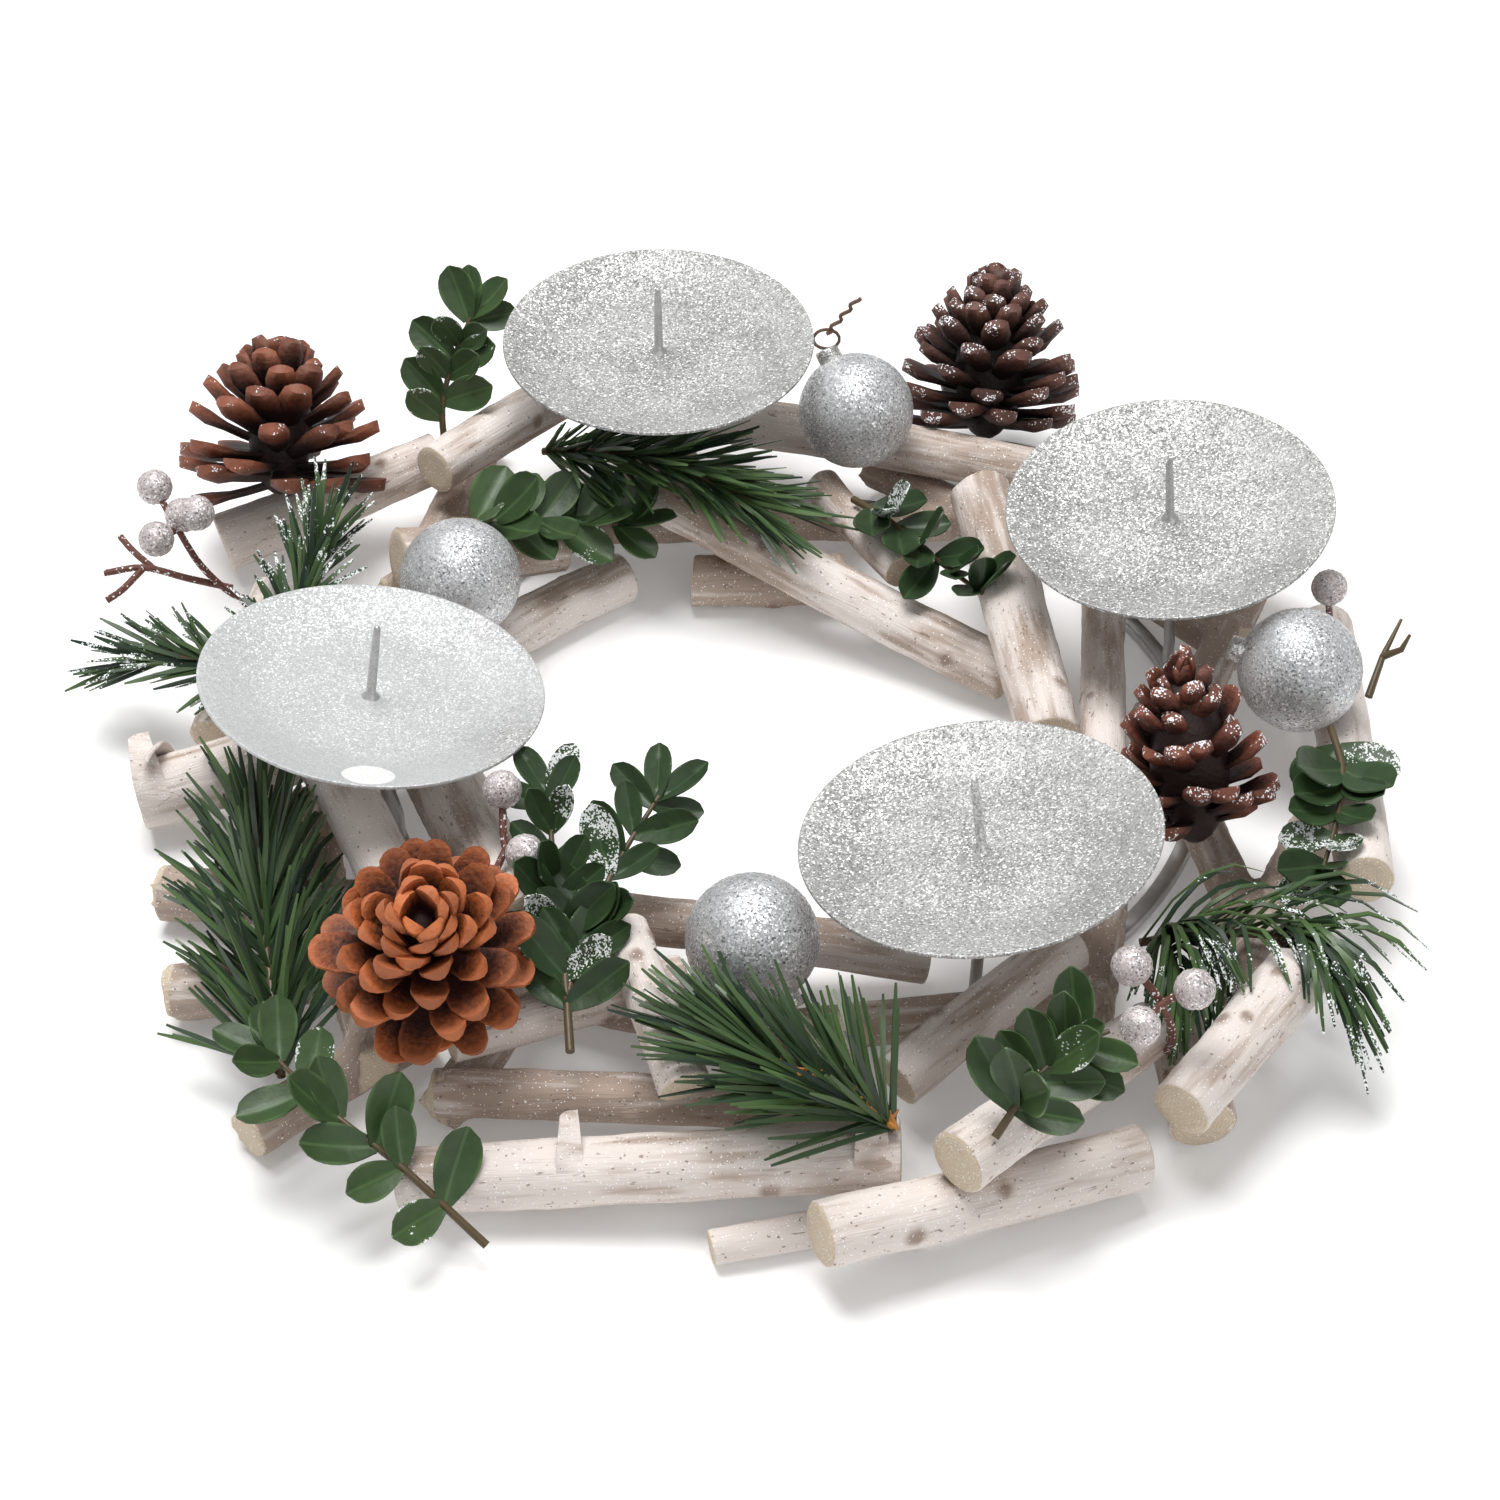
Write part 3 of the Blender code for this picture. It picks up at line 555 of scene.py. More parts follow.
def branch(node, tone):
    """The blank, laid along a stick's line and given bark, knots and crooked saw cuts."""
    middles, radii = branch_line(node)
    points, faces = BLANK
    stations = np.linspace(0, 1, STATIONS)
    share = points[:, 2] + 0.5
    line = columns(*(np.polyval(np.polyfit(stations, middles[:, k], 3), share) for k in range(3)))
    length = np.linalg.norm(middles[-1] - middles[0])
    along = unit(middles[-1] - middles[0])
    side = unit(np.cross(along, UP))
    up = np.cross(side, along)
    reach = np.hypot(points[:, 0], points[:, 1])
    angle = np.arctan2(points[:, 1], points[:, 0])
    thick = np.interp(share, stations, radii) * BARK_SHARE
    swell, knotty, seed = bark_bumps(share, angle, thick, length)
    outward = np.minimum(1, reach) * thick * (1 + swell + 0.09 * knotty)
    slants = chance.uniform(0, SLANT), chance.uniform(0, SLANT)
    lean = chance.uniform(0, math.tau)
    cut = thick * (1 + np.minimum(1, reach) * np.cos(angle - lean)) / 2
    rim = RIM_BACK * (reach > RIM) * ((share < 1e-4) | (share > 1 - 1e-4))
    near_start = np.clip(1 - share * length / CUT_REACH, 0, 1)
    near_end = np.clip(1 - (1 - share) * length / CUT_REACH, 0, 1)
    shift = near_start * (slants[0] * cut + rim) - near_end * (slants[1] * cut + rim)
    ring = side * np.cos(angle)[:, None] + up * np.sin(angle)[:, None]
    placed = line + ring * outward[:, None] + along * shift[:, None]
    shapes = [(placed, faces, columns(reach < RIM, knotty * (reach > RIM), tone))]
    grain = [columns(share * length, reach * thick * np.cos(angle), reach * thick * np.sin(angle))]
    for peel_share, width, first, last in PEELS.get(node, ()):
        radius = float(np.interp(peel_share, stations, radii))
        middle = np.array([np.interp(peel_share, stations, middles[:, k]) for k in range(3)])
        curl = peel(middle, along, up, radius, width, first, last)
        shapes.append(marked_as(curl, (0, 0, tone + 0.05)))
        grain.append(curl[0] - middle + (peel_share * length, 0, 0))
    # The seed shifts the pattern, so that no two sticks are worn alike
    settle(node, "_bark", shapes, whitewash, "birch", grain=np.vstack(grain) * MM + (seed.x * MM * 7, 0, 0))


sticks = sorted(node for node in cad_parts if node.startswith("stick_"))
for node in sticks:
    branch(node, TONES.get(node.removeprefix("stick_"), PLAIN_TONE) + chance.uniform(-0.03, 0.03))
print("sticks:", len(sticks))

# %% [markdown]
# ## The lowest sticks
#
# Under the loose sticks lie four rafts of sticks that are glued into each other. Their solids are
# already joined, so each raft is a copy of its solid: voxel remesh gives it even small faces, and
# smoothing rounds the flats into branches and the joints into glue lines.

# %% Rafts of sticks
RAFT_VOXEL = 1.3  # mm
# More worn, browner bark on the lowest sticks, and painted shade: it darkens them for the shade under the
# loose sticks
RAFT_TONE_AND_SHADE = 0.32
RAFT_WAVE = 7  # mm from one unevenness to the next
RAFT_UNEVEN = 0.35  # mm
# Plan of both ends of every stick in a raft
UNDER_STICKS = {
    "sticks_under_back": [
        ((-104, 52), (-26, 111)), ((-76, 76), (44, 84)), ((22, 108), (60, 68)), ((-98, 48), (-82, 124)),
    ],
    "sticks_under_front": [
        ((72, -62), (60, -124)), ((70, -99), (-20, -106)), ((14, -113), (-66, -88)),
        ((-48, -72), (-78, -128)), ((-80, -127), (12, -127)),
    ],
    "sticks_under_left": [
        ((-120, -134), (-82, -100)), ((-92, -118), (-117, -24)), ((-142, -91), (-84, -92)),
        ((-148, -58), (-92, -72)), ((-111, -46), (-98, 30)), ((-138, 44), (-94, 14)),
    ],
    "sticks_under_right": [
        ((64, 82), (114, 30)), ((120, 56), (88, -24)), ((86, 0), (106, -80)), ((124, -34), (98, -106)),
    ],
}


def along_sticks(points, ends):
    """For each point, how far along and across its nearest stick it lies, and how near a sawn end."""
    nearest = np.full(len(points), np.inf)
    seen = np.zeros((len(points), 3))
    sawn = np.zeros(len(points))
    for start, stop in np.array(ends, float):
        length = np.linalg.norm(stop - start)
        way = (stop - start) / length
        share = (points[:, :2] - start) @ way
        across = (points[:, :2] - start) @ (-way[1], way[0])
        beyond = np.maximum(0, np.maximum(-share, share - length))
        far = np.hypot(across, beyond * 3)
        closer = far < nearest
        nearest = np.where(closer, far, nearest)
        seen[closer] = columns(share, across, points[:, 2])[closer]
        near_end = np.clip(1.6 - np.minimum(share, length - share), 0, 1)
        sawn[closer] = (near_end * (np.abs(across) < 7))[closer]
    return seen, sawn


def raft(node):
    """A copy of a raft's solid with even faces, round sticks and a grain along each of them."""
    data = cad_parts[node].data.copy()
    data.transform(TO_FRAME.inverted())
    copy = bpy.data.objects.new("raft", data)
    bpy.context.scene.collection.objects.link(copy)
    edit_all(copy)
    bpy.ops.mesh.remove_doubles(threshold=0.01)
    applied(copy, "REMESH", mode="VOXEL", voxel_size=RAFT_VOXEL)
    applied(copy, "SMOOTH", factor=0.5, iterations=5)
    points, faces = triangles(copy)
    for i, point in enumerate(points):
        spot = Vector(point / RAFT_WAVE)
        points[i] += RAFT_UNEVEN * np.array((noise.noise(spot), noise.noise(spot + Vector((31, 0, 0))), 0))
    seen, sawn = along_sticks(points, UNDER_STICKS[node])
    shape = (points, faces, columns(sawn, 0, RAFT_TONE_AND_SHADE))
    return settle(node, "_bark", [shape], whitewash, "birch", grain=seen * MM)


print("triangles of the rafts:", [raft(node) for node in UNDER_STICKS])

# %% [markdown]
# ## The steel frame
#
# A flat hoop is bent from strip steel, and a leg is welded to it under each dish. The leg runs on
# through the dish as the spike that holds a candle. The hoop is an open cylinder given a wall and
# rounded edges, and legs and spikes are drawn wires.

# %% Wires
STEEL_SIDES = 12


def wire(points, radii, sides, marks):
    """A round wire through the points, with the same three marks all over."""
    curve = bpy.data.curves.new("wire", "CURVE")
    curve.dimensions = "3D"
    curve.bevel_depth = 1
    curve.bevel_resolution = sides // 2 - 2
    curve.use_fill_caps = True
    spline = curve.splines.new("POLY")
    spline.points.add(len(points) - 1)
    for knot, point, radius in zip(spline.points, points, np.broadcast_to(radii, len(points))):
        knot.co = (*point, 1)
        knot.radius = radius
    drawn = bpy.data.objects.new("wire", curve)
    bpy.context.scene.collection.objects.link(drawn)
    pick(drawn)
    bpy.ops.object.convert(target="MESH")
    edit_all(drawn)
    bpy.ops.mesh.remove_doubles(threshold=0.001)
    bpy.ops.mesh.normals_make_consistent(inside=False)
    return marked_as(triangles(drawn), marks)


print("wires are drawn with up to", STEEL_SIDES, "sides")

# %% Hoop, legs and spikes
HOOP_RADIUS = 100
HOOP_WIDTH = 4.0
HOOP_HEIGHT = 3.0
LEG_RADIUS = 1.4
DISH_SHEET = 0.8
# Middle of each dish's floor, and its lean in degrees about X and Y
DISHES = {
    "candle_dish_back": ((-34, 96, 53.5), (1.5, 0.2)),
    "candle_dish_right": ((92, 30, 50), (4.3, -5.2)),
    "candle_dish_left": ((-98, -35, 48), (-5.0, 8.0)),
    "candle_dish_front": ((40, -91, 52), (-3.0, -7.0)),
}
# Height over the dish, radius and share of the bend at each point of a spike
SPIKE = ((0, 2.2, 0), (1.2, 1.15, 0), (11, 1.0, 0), (17.2, 0.9, 0), (19.2, 0.75, 0.35), (19.7, 0.3, 0.9))
FOOT_RADIUS = 3.2
SPIKE_BENDS = {"candle_dish_right": 1.6}  # mm to the right, at the tip
GLITTERED_SPIKE = "candle_dish_front"


def dish_turn(lean):
    """The turn that leans a dish by degrees about X and then Y."""
    return Matrix.Rotation(math.radians(lean[1]), 4, "Y") @ Matrix.Rotation(math.radians(lean[0]), 4, "X")


def hoop():
    """A flat ring of strip steel with rounded edges."""
    deselect()
    bpy.ops.mesh.primitive_cylinder_add(
        vertices=144, radius=HOOP_RADIUS + HOOP_WIDTH / 2, depth=HOOP_HEIGHT, end_fill_type="NOTHING",
        location=(0, 0, HOOP_HEIGHT / 2),
    )
    strip = bpy.context.active_object
    bpy.ops.object.transform_apply()
    applied(strip, "SOLIDIFY", thickness=HOOP_WIDTH, offset=-1)
    applied(strip, "BEVEL", width=0.5, segments=2)
    return triangles(strip)


def steel():
    """Galvanised steel, dull and a little blotched. Mark 1 is how much glitter has fallen on it."""
    paint = Paint("galvanised_steel", Metallic=0.9)
    at = paint.place()
    dusted = paint.part(paint.marked("marks"), 0)
    bright = paint.part(paint.grains(at, FLAKES), 0)
    blotch = paint.clouds(at, 350)
    colour = paint.mix(blotch, (0.40, 0.40, 0.40), (0.62, 0.62, 0.61))
    # Fallen glitter, each flake coloured from grey to white as a painted reflection
    colour = paint.mix(dusted * (bright > 0.3), colour, paint.mix(bright, (0.5, 0.5, 0.5), WHITE))
    return paint.wear(Base_Color=colour, Roughness=0.38 + blotch * 0.2)


shapes = [marked_as(hoop(), (0, 0, 0))]
for dish, (middle, lean) in DISHES.items():
    middle = np.array(middle, float)
    axis = np.array(dish_turn(lean) @ Vector(UP))
    foot = np.array((*(unit(middle[:2]) * HOOP_RADIUS), 1.0))
    seat = middle - axis * (DISH_SHEET + 0.35)
    leg = [foot, foot + (0, 0, 7), foot + (0, 0, 9), seat - axis * 9, seat - axis * 7, seat]
    shapes.append(wire(leg, LEG_RADIUS, STEEL_SIDES, (0, 0, 0)))
    bend = np.array((SPIKE_BENDS.get(dish, 0), 0, 0))
    spike = [seat, *(middle + axis * rise + bend * share for rise, _, share in SPIKE)]
    radii = [FOOT_RADIUS, *(radius for _, radius, _ in SPIKE)]
    shapes.append(wire(spike, radii, STEEL_SIDES, (1.0 if dish == GLITTERED_SPIKE else 0.25, 0, 0)))
print("steel frame:", settle("steel_frame", "_fine", shapes, steel(), "steel"), "triangles")

# %% [markdown]
# ## Candle dishes
#
# Each dish is spun from thin sheet: a flat floor, a soft turn, a sloping side and a thin lip. It
# grows from a circle round the spike by extruding its edge outwards ring by ring, as a potter draws
# clay, and Solidify gives it the thickness of the sheet. The left dish is smoother and whiter, with
# two spots of worn paint.

# %% Dishes
# Radius and height of each ring
DISH_RINGS = (
    (8, 0), (16, 0.02), (22, 0.08), (25, 0.3), (27, 0.65), (30, 1.3), (34, 2.5), (37.5, 3.6), (39.3, 4.05),
    (39.9, 4.15),
)
DISH_HOLE = 1.9
# Place and radius of the worn spots, in metres in the part's frame
WORN_SPOTS = (((-0.079, -0.0505, 0.049), 0.0105), ((-0.1165, -0.003, 0.049), 0.007))


def dish_sheet():
    """A dish with a hole for its spike, its floor at height 0."""
    deselect()
    bpy.ops.mesh.primitive_circle_add(vertices=96, radius=DISH_HOLE, fill_type="NOTHING")
    sheet = bpy.context.active_object
    edit_all(sheet)
    radius, height = DISH_HOLE, 0.0
    for ring, level in DISH_RINGS:
        bpy.ops.mesh.extrude_region()
        bpy.ops.transform.resize(value=(ring / radius, ring / radius, 1))
        bpy.ops.transform.translate(value=(0, 0, level - height))
        radius, height = ring, level
    bpy.ops.mesh.select_all(action="SELECT")
    bpy.ops.mesh.normals_make_consistent(inside=False)
    deselect()
    innermost = min(sheet.data.polygons, key=lambda face: face.center.length)
    if innermost.normal.z < 0:
        sheet.data.flip_normals()
    applied(sheet, "SOLIDIFY", thickness=DISH_SHEET, offset=-1)
    applied(sheet, "BEVEL", width=0.18, segments=2, limit_method="ANGLE", angle_limit=math.radians(50))
    return triangles(sheet)


def left_dish_paint():
    """Glitter that thins out to smooth grey paint at the left, with worn white spots."""
    paint, colour, slope, bright = silver("left_dish_paint", (1.0, 1.0, 0.98), 0.30, 0.66)
    at = paint.place()
    smooth = paint.clouds(at, 26, 3)
    thin = paint.ease(smooth + (-0.055 - paint.part(at, 0)) * 7, 0.20, 0.65)
    grey = paint.mix(smooth, (0.46, 0.47, 0.48), (0.66, 0.67, 0.67))
    colour = paint.mix(thin * 0.8, colour, grey)
    for spot, size in WORN_SPOTS:
        away = paint.vector("DISTANCE", at, spot, "Value")
        colour = paint.mix((away + smooth * 0.006 < size) * 0.9, colour, (0.93, 0.93, 0.92))
    return paint.wear(Base_Color=colour, Roughness=0.66 - bright * 0.3, Normal=slope)


sheet_points, sheet_faces = dish_sheet()
DISH_PAINTS = {"candle_dish_left": left_dish_paint()}
for dish, (middle, lean) in DISHES.items():
    placed = moved(sheet_points, Matrix.Translation(middle) @ dish_turn(lean))
    shape = marked_as((placed, sheet_faces), (0, 0, 0))
    settle(dish, "_spun", [shape], DISH_PAINTS.get(dish, dish_glitter), "dish_glitter")
print("dish:", len(sheet_faces), "triangles")

# %% [markdown]
# ## Baubles
#
# A bauble is a 30 mm plastic ball rolled in glitter, with a small bare cap that its wire goes
# through. An icosphere has even faces and no poles, so noise can roughen it like glued flakes. One
# bauble shows its brown loop and a twisted wire end.

# %% Baubles
BAUBLE_RADIUS = 15
CAP_RADIUS = 3.2
CAP_HEIGHT = 3.0
LOOP_RADIUS = 3.0
BROWN_WIRE = (2, 0, 0)  # marks of the loop and the twisted end
# Plan of the middle, and the way the cap points
BAUBLES = {
    "bauble_front": ((-10, -99), (0.5, -0.6, -0.6)),
    "bauble_right": ((121, -8), (-1.0, 0.2, 0.25)),
    "bauble_back": ((17, 91), (-0.45, 0.5, 0.75)),
    "bauble_left": ((-82, 28), (-0.6, 0.2, -0.7)),
}


def rough_ball(radius, subdivisions, roughness):
    """An icosphere whose surface is uneven, as if flakes were glued to it."""
    deselect()
    bpy.ops.mesh.primitive_ico_sphere_add(subdivisions=subdivisions, radius=radius)
    points, faces = triangles(bpy.context.active_object)
    bumps = np.array([noise.noise(Vector(p) * 1.9) + 0.6 * noise.noise(Vector(p) * 4.3) for p in points])
    return points * (1 + bumps[:, None] * roughness / radius), faces


def cap():
    """A short cap with a rolled edge, on top of a ball at the origin."""
    deselect()
    bpy.ops.mesh.primitive_cylinder_add(vertices=24, radius=CAP_RADIUS, depth=CAP_HEIGHT + 1)
    crown = bpy.context.active_object
    applied(crown, "BEVEL", width=0.6, segments=3, limit_method="ANGLE")
    points, faces = triangles(crown)
    return points + (0, 0, BAUBLE_RADIUS + CAP_HEIGHT / 2 - 0.7), faces


def loop_and_twist(top):
    """The brown loop on a cap, and the end of the wire that is twisted through it."""
    loop = [
        top + (3.4 * math.sin(a), 0.6, LOOP_RADIUS - LOOP_RADIUS * math.cos(a))
        for a in np.linspace(0, math.tau, 15)
    ]
    twist = [top + (8.1 * t + 0.7 * math.sin(t * 21), 1.5 * t, 5 + 10 * t) for t in np.linspace(0, 1, 18)]
    return [wire(loop, 0.45, 6, BROWN_WIRE), wire(twist, 0.55, 6, BROWN_WIRE)]


def bauble_finish():
    """Glitter where mark 1 is 0, bare cap where it is 1 and brown wire where it is 2."""
    paint, colour, slope, bright = silver("bauble_glitter", (0.95, 0.96, 0.98), 0.36, 0.84)
    kind = paint.part(paint.marked("marks"), 0)
    bare = kind > 0.5
    brown = kind > 1.5
    colour = paint.mix(bare, colour, (0.72, 0.72, 0.70))
    colour = paint.mix(brown, colour, (0.16, 0.09, 0.06))
    metallic = 0.55 + bare * 0.4 - brown * 0.9
    rough = 0.6 - bright * 0.3 - bare * 0.15
    return paint.wear(Base_Color=colour, Roughness=rough, Metallic=metallic, Normal=slope)


bauble_paint = bauble_finish()
ball_points, ball_faces = rough_ball(BAUBLE_RADIUS - 0.15, 6, 0.16)
cap_points, cap_faces = cap()
for node, (plan, way) in BAUBLES.items():
    middle = np.array((*plan, corners_near(node, plan, 0.5)[:, 2].max() - BAUBLE_RADIUS))
    turn = upright(middle, way)
    shapes = [
        marked_as((ball_points + middle, ball_faces), (0, 0, 0)),
        marked_as((moved(cap_points, turn), cap_faces), (1, 0, 0)),
    ]
    if node == "bauble_back":
        shapes += loop_and_twist(np.array(turn @ Vector((0, 0, BAUBLE_RADIUS + CAP_HEIGHT - 0.6))))
    settle(node, "_glittered", shapes, bauble_paint, "bauble_glitter")
print("baubles:", len(BAUBLES), "of", len(ball_faces), "triangles")

# %% [markdown]
# ## Berries
#
# The berries are foam beads on brown paper-wrapped wire, rolled in pinkish silver glitter. A stem
# is given by a few points, and a smooth curve is drawn through them.

# %% Berries
BERRY_RADIUS = 4.6
STEM_RADIUS = 0.9
# Berry middles, then stems and twigs as lists of points, all before they are lowered
BERRIES = {
    "berries_left": (
        [(-159, 50, 51), (-157, 34, 47), (-147, 38, 52), (-152, 45, 46)],
        [
            [(-159, 50, 51), (-153, 42, 44), (-148, 40, 34), (-141, 41, 24), (-134, 42, 21)],
            [(-157, 34, 47), (-153, 42, 44), (-147, 38, 52)],
            [(-152, 45, 46), (-153, 42, 44)],
            [(-141, 41, 26), (-152, 40, 30), (-163, 43, 31), (-173, 42, 30)],
            [(-160, 42, 31), (-166, 48, 32), (-170, 53, 33)],
            [(-163, 43, 31), (-168, 38, 28), (-172, 36, 26)],
        ],
    ),
    "berries_right": (
        [(70, -126, 55), (83, -131, 53), (71, -139, 50)],
        [
            [(70, -126, 55), (76, -129, 48), (80, -127, 36), (80, -123, 26)],
            [(71, -139, 50), (77, -130, 48), (83, -131, 53)],
        ],
    ),
    "berries_hole": (
        [(-60, -86, 46), (-66, -67, 48)],
        [[(-60, -86, 46), (-65, -78, 40), (-66, -67, 48)], [(-65, -78, 40), (-68, -85, 37)]],
    ),
    "berries_right_back": ([(131, 19, 48)], [[(131, 19, 48), (132, 21, 40), (134, 24, 30)]]),
}


def smooth_path(points, steps):
    """A smooth curve through the points, as more points."""
    points = [np.array(p, float) for p in points]
    ends = [points[0] * 2 - points[1], *points, points[-1] * 2 - points[-2]]
    path = []
    for before, start, end, after in zip(ends, ends[1:], ends[2:], ends[3:]):
        for t in (step / steps for step in range(steps)):
            bend = (2 * before - 5 * start + 4 * end - after) * t * t
            turn = (3 * start - before - 3 * end + after) * t**3
            path.append(0.5 * (2 * start + (end - before) * t + (bend + turn)))
    return [*path, points[-1]]


def berry_finish():
    """Pinkish glitter where mark 1 is 0, brown wrapped wire where it is 1."""
    paint, colour, slope, bright = silver("berry_glitter", (0.97, 0.88, 0.87), 0.34, 0.84)
    stem = paint.part(paint.marked("marks"), 0)
    wrapping = paint.mix(bright > 0.93, (0.13, 0.045, 0.03), (0.9, 0.9, 0.9))
    colour = paint.mix(stem, colour, wrapping)
    metallic = 0.4 - stem * 0.4
    return paint.wear(Base_Color=colour, Roughness=0.7 - bright * 0.3, Metallic=metallic, Normal=slope)


berry_paint = berry_finish()
bead_points, bead_faces = rough_ball(BERRY_RADIUS - 0.2, 4, 0.3)
for node, (middles, stems) in BERRIES.items():
    drop = (0, 0, corners(node)[:, 2].max() - max(middle[2] for middle in middles) - BERRY_RADIUS)
    shapes = [marked_as((bead_points + middle + drop, bead_faces), (0, 0, 0)) for middle in middles]
    for stem in stems:
        shapes.append(wire([point + drop for point in smooth_path(stem, 4)], STEM_RADIUS, 8, (1, 0, 0)))
    settle(node, "_glittered", shapes, berry_paint, "berry")
print("berries:", sum(len(middles) for middles, _ in BERRIES.values()))

# %% [markdown]
# ## Pine cones
#
# A cone is a woody core with scales on the golden angle: each scale is turned 137.5 degrees from
# the one below. A scale is thin at its root and ends in a thick rounded lip that curls up. One cube
# is subdivided and shaped into a scale, and the rule sets copies of it round the core.

# %% Model a scale
SCALE_CUTS = 4


def cone_scale():
    """A scale of unit length and width along X. Marks are how near tip and edge, and the upper side."""
    deselect()
    bpy.ops.mesh.primitive_cube_add(size=2)
    block = bpy.context.active_object
    edit_all(block)
    bpy.ops.mesh.subdivide(number_cuts=SCALE_CUTS)
    points, faces = triangles(block)
    t = (points[:, 0] + 1) / 2
    v = points[:, 1]
    upper = points[:, 2]
    spread = 0.40 + 0.60 * np.sin(np.minimum(1, t / 0.92) * math.pi / 2) ** 1.8
    round_tip = 1 - 0.24 * np.clip((t - 0.88) / 0.12, 0, 1) ** 2
    thick = 0.08 + 0.15 * np.exp(-(((t - 0.93) / 0.13) ** 2))
    lens = 1 - 0.62 * v**2
    height = upper * thick * lens * (1 - 0.45 * (t > 0.98)) + 0.16 * t**3 + 0.05 * v**2
    shaped = columns(t - 0.07 * v**2 * t**3, 0.5 * v * spread * round_tip, height)
    return shaped, faces, columns(t, np.abs(v), upper)


SCALE = cone_scale()
print("scale:", len(SCALE[1]), "triangles")

# %% [markdown]
# ## Colour of a cone
#
# Scales are darkest at the root, where no light reaches, and lighter at the lip. Three of the cones
# are frosted with glitter on their lips. The front one is dyed a brighter orange brown.

# %% Cone materials


def cone_finish(name, root, lip, frosting):
    """Dark root, lighter lip and rim, and glitter frost on the lips. Marks are tip, edge and shade."""
    paint = Paint(name)
    at = paint.place()
    tip, edge, shade = paint.marks()
    grain = paint.clouds(at, 900, 3)
    blotch = paint.clouds(at, 220, 2)
    fade = paint.ease(tip + grain * 0.4 + edge * 0.10 - 0.2, 0.66, 1.08)
    colour = paint.mix(fade, root, lip)
    pale = tuple(min(1, 1.45 * c + 0.035) for c in lip)
    rim = paint.ease(edge, 0.72, 1.0) * paint.ease(tip, 0.45, 0.75)
    colour = paint.mix(paint.ease(tip, 0.90, 0.98) * 0.6 + rim * 0.3, colour, pale)
    colour = paint.mix(shade * 0.65, colour, root)
    colour = paint.mix(paint.ease(blotch, 0.5, 0.75) * 0.25, colour, root)
    frosted = frost(paint, at, paint.ease(tip + blotch * 0.5, 1.38 - frosting, 1.62 - frosting), 0.5)
    colour = paint.mix(frosted, colour, (0.9, 0.9, 0.92))
    relief = paint.bump(grain * 0.7 + blotch * 0.3, 0.0006, 0.8)
    return paint.wear(Base_Color=colour, Roughness=0.62 - frosted * 0.25, Normal=relief)


CONE_PAINTS = {
    "pine_cone_left_back": cone_finish("red_brown_cone", (0.016, 0.004, 0.002), (0.20, 0.052, 0.019), 0.14),
    "pine_cone_back": cone_finish("dark_frosted_cone", (0.009, 0.003, 0.002), (0.092, 0.027, 0.014), 0.20),
    "pine_cone_front": cone_finish("orange_cone", (0.034, 0.005, 0.002), (0.44, 0.113, 0.024), 0.0),
    "pine_cone_right": cone_finish("ragged_cone", (0.018, 0.004, 0.002), (0.165, 0.040, 0.017), 0.22),
}
print("cone paints:", len(CONE_PAINTS))

# %% [markdown]
# ## The rule of a cone
#
# From the base to the tip the scales get shorter and narrower, and they stand up more and more. A
# closed cone has steeper scales on a fatter core. Chance makes each scale a little ragged.

# %% Cones
# Plan of the base, way the tip points, height, width, scales, how far they open, raggedness
CONES = {
    "pine_cone_left_back": ((-132, 74), (0.02, 0.62, 0.8), 42, 58, 58, 1.0, 0.13),
    "pine_cone_back": ((52.3, 110), (0.05, 0.42, 0.9), 50, 54.5, 74, 0.75, 0.12),
    "pine_cone_front": ((-80, -109), (0.03, -0.45, 0.9), 44, 55, 66, 0.9, 0.22),
    "pine_cone_right": ((93, -54), (-0.12, 0.4, 0.9), 52, 46, 66, 0.5, 0.26),
}
GOLDEN_TURN = math.radians(137.5)
CORE_MIDDLE = 0.38  # share of the height
# Points and radii of the stem under the front cone, in the cone's own place
STEM = ([(0, 0, 4), (2, -1, -6), (2, -3, -13)], (3.2, 2.6, 2.2))


def core(width, height, closed):
    """The egg that the scales grow from, fatter in a closed cone."""
    half = height * CORE_MIDDLE
    radius = width * (0.15 + 0.12 * closed) * 0.95
    deselect()
    bpy.ops.mesh.primitive_uv_sphere_add(segments=24, ring_count=14, radius=1, location=(0, 0, half))
    egg = bpy.context.active_object
    egg.scale = (radius, radius, half)
    bpy.ops.object.transform_apply()
    return triangles(egg)


def pine_cone(height, width, count, openness, ragged):
    """A core with its scales, its base at the origin and its tip along Z."""
    closed = 1 - openness
    shapes = [marked_as(core(width, height, closed), (0.1, 0, 0.5))]
    points, faces, marks = SCALE
    for i in range(count):
        f = i / (count - 1)
        rise = height * (0.08 + (0.54 + 0.10 * closed) * f)
        lift = -12 + 34 * closed + (82 - 22 * closed) * f**1.25 + 60 * ragged * chance.uniform(-1, 1)
        long = width / 2 * (1 - 0.56 * max(0, f - 0.22) - 0.9 * max(0, 0.12 - f))
        long *= chance.uniform(1 - 0.9 * ragged, 1)
        broad = width * (0.18 - 0.05 * f) * chance.uniform(0.85, 1.08)
        size = Matrix.Diagonal((long, broad, long * 0.3 + 7, 1))
        roll = Matrix.Rotation(ragged * chance.uniform(-1.2, 1.2), 4, "X")
        turn = Matrix.Rotation(i * GOLDEN_TURN + chance.uniform(-0.06, 0.06), 4, "Z")
        stand = Matrix.Translation((0, 0, rise)) @ turn @ Matrix.Rotation(-math.radians(lift), 4, "Y")
        tone = columns(marks[:, 0], marks[:, 1], chance.uniform(0, 0.8))
        shapes.append((moved(points, stand @ roll @ size), faces, tone))
    return shapes


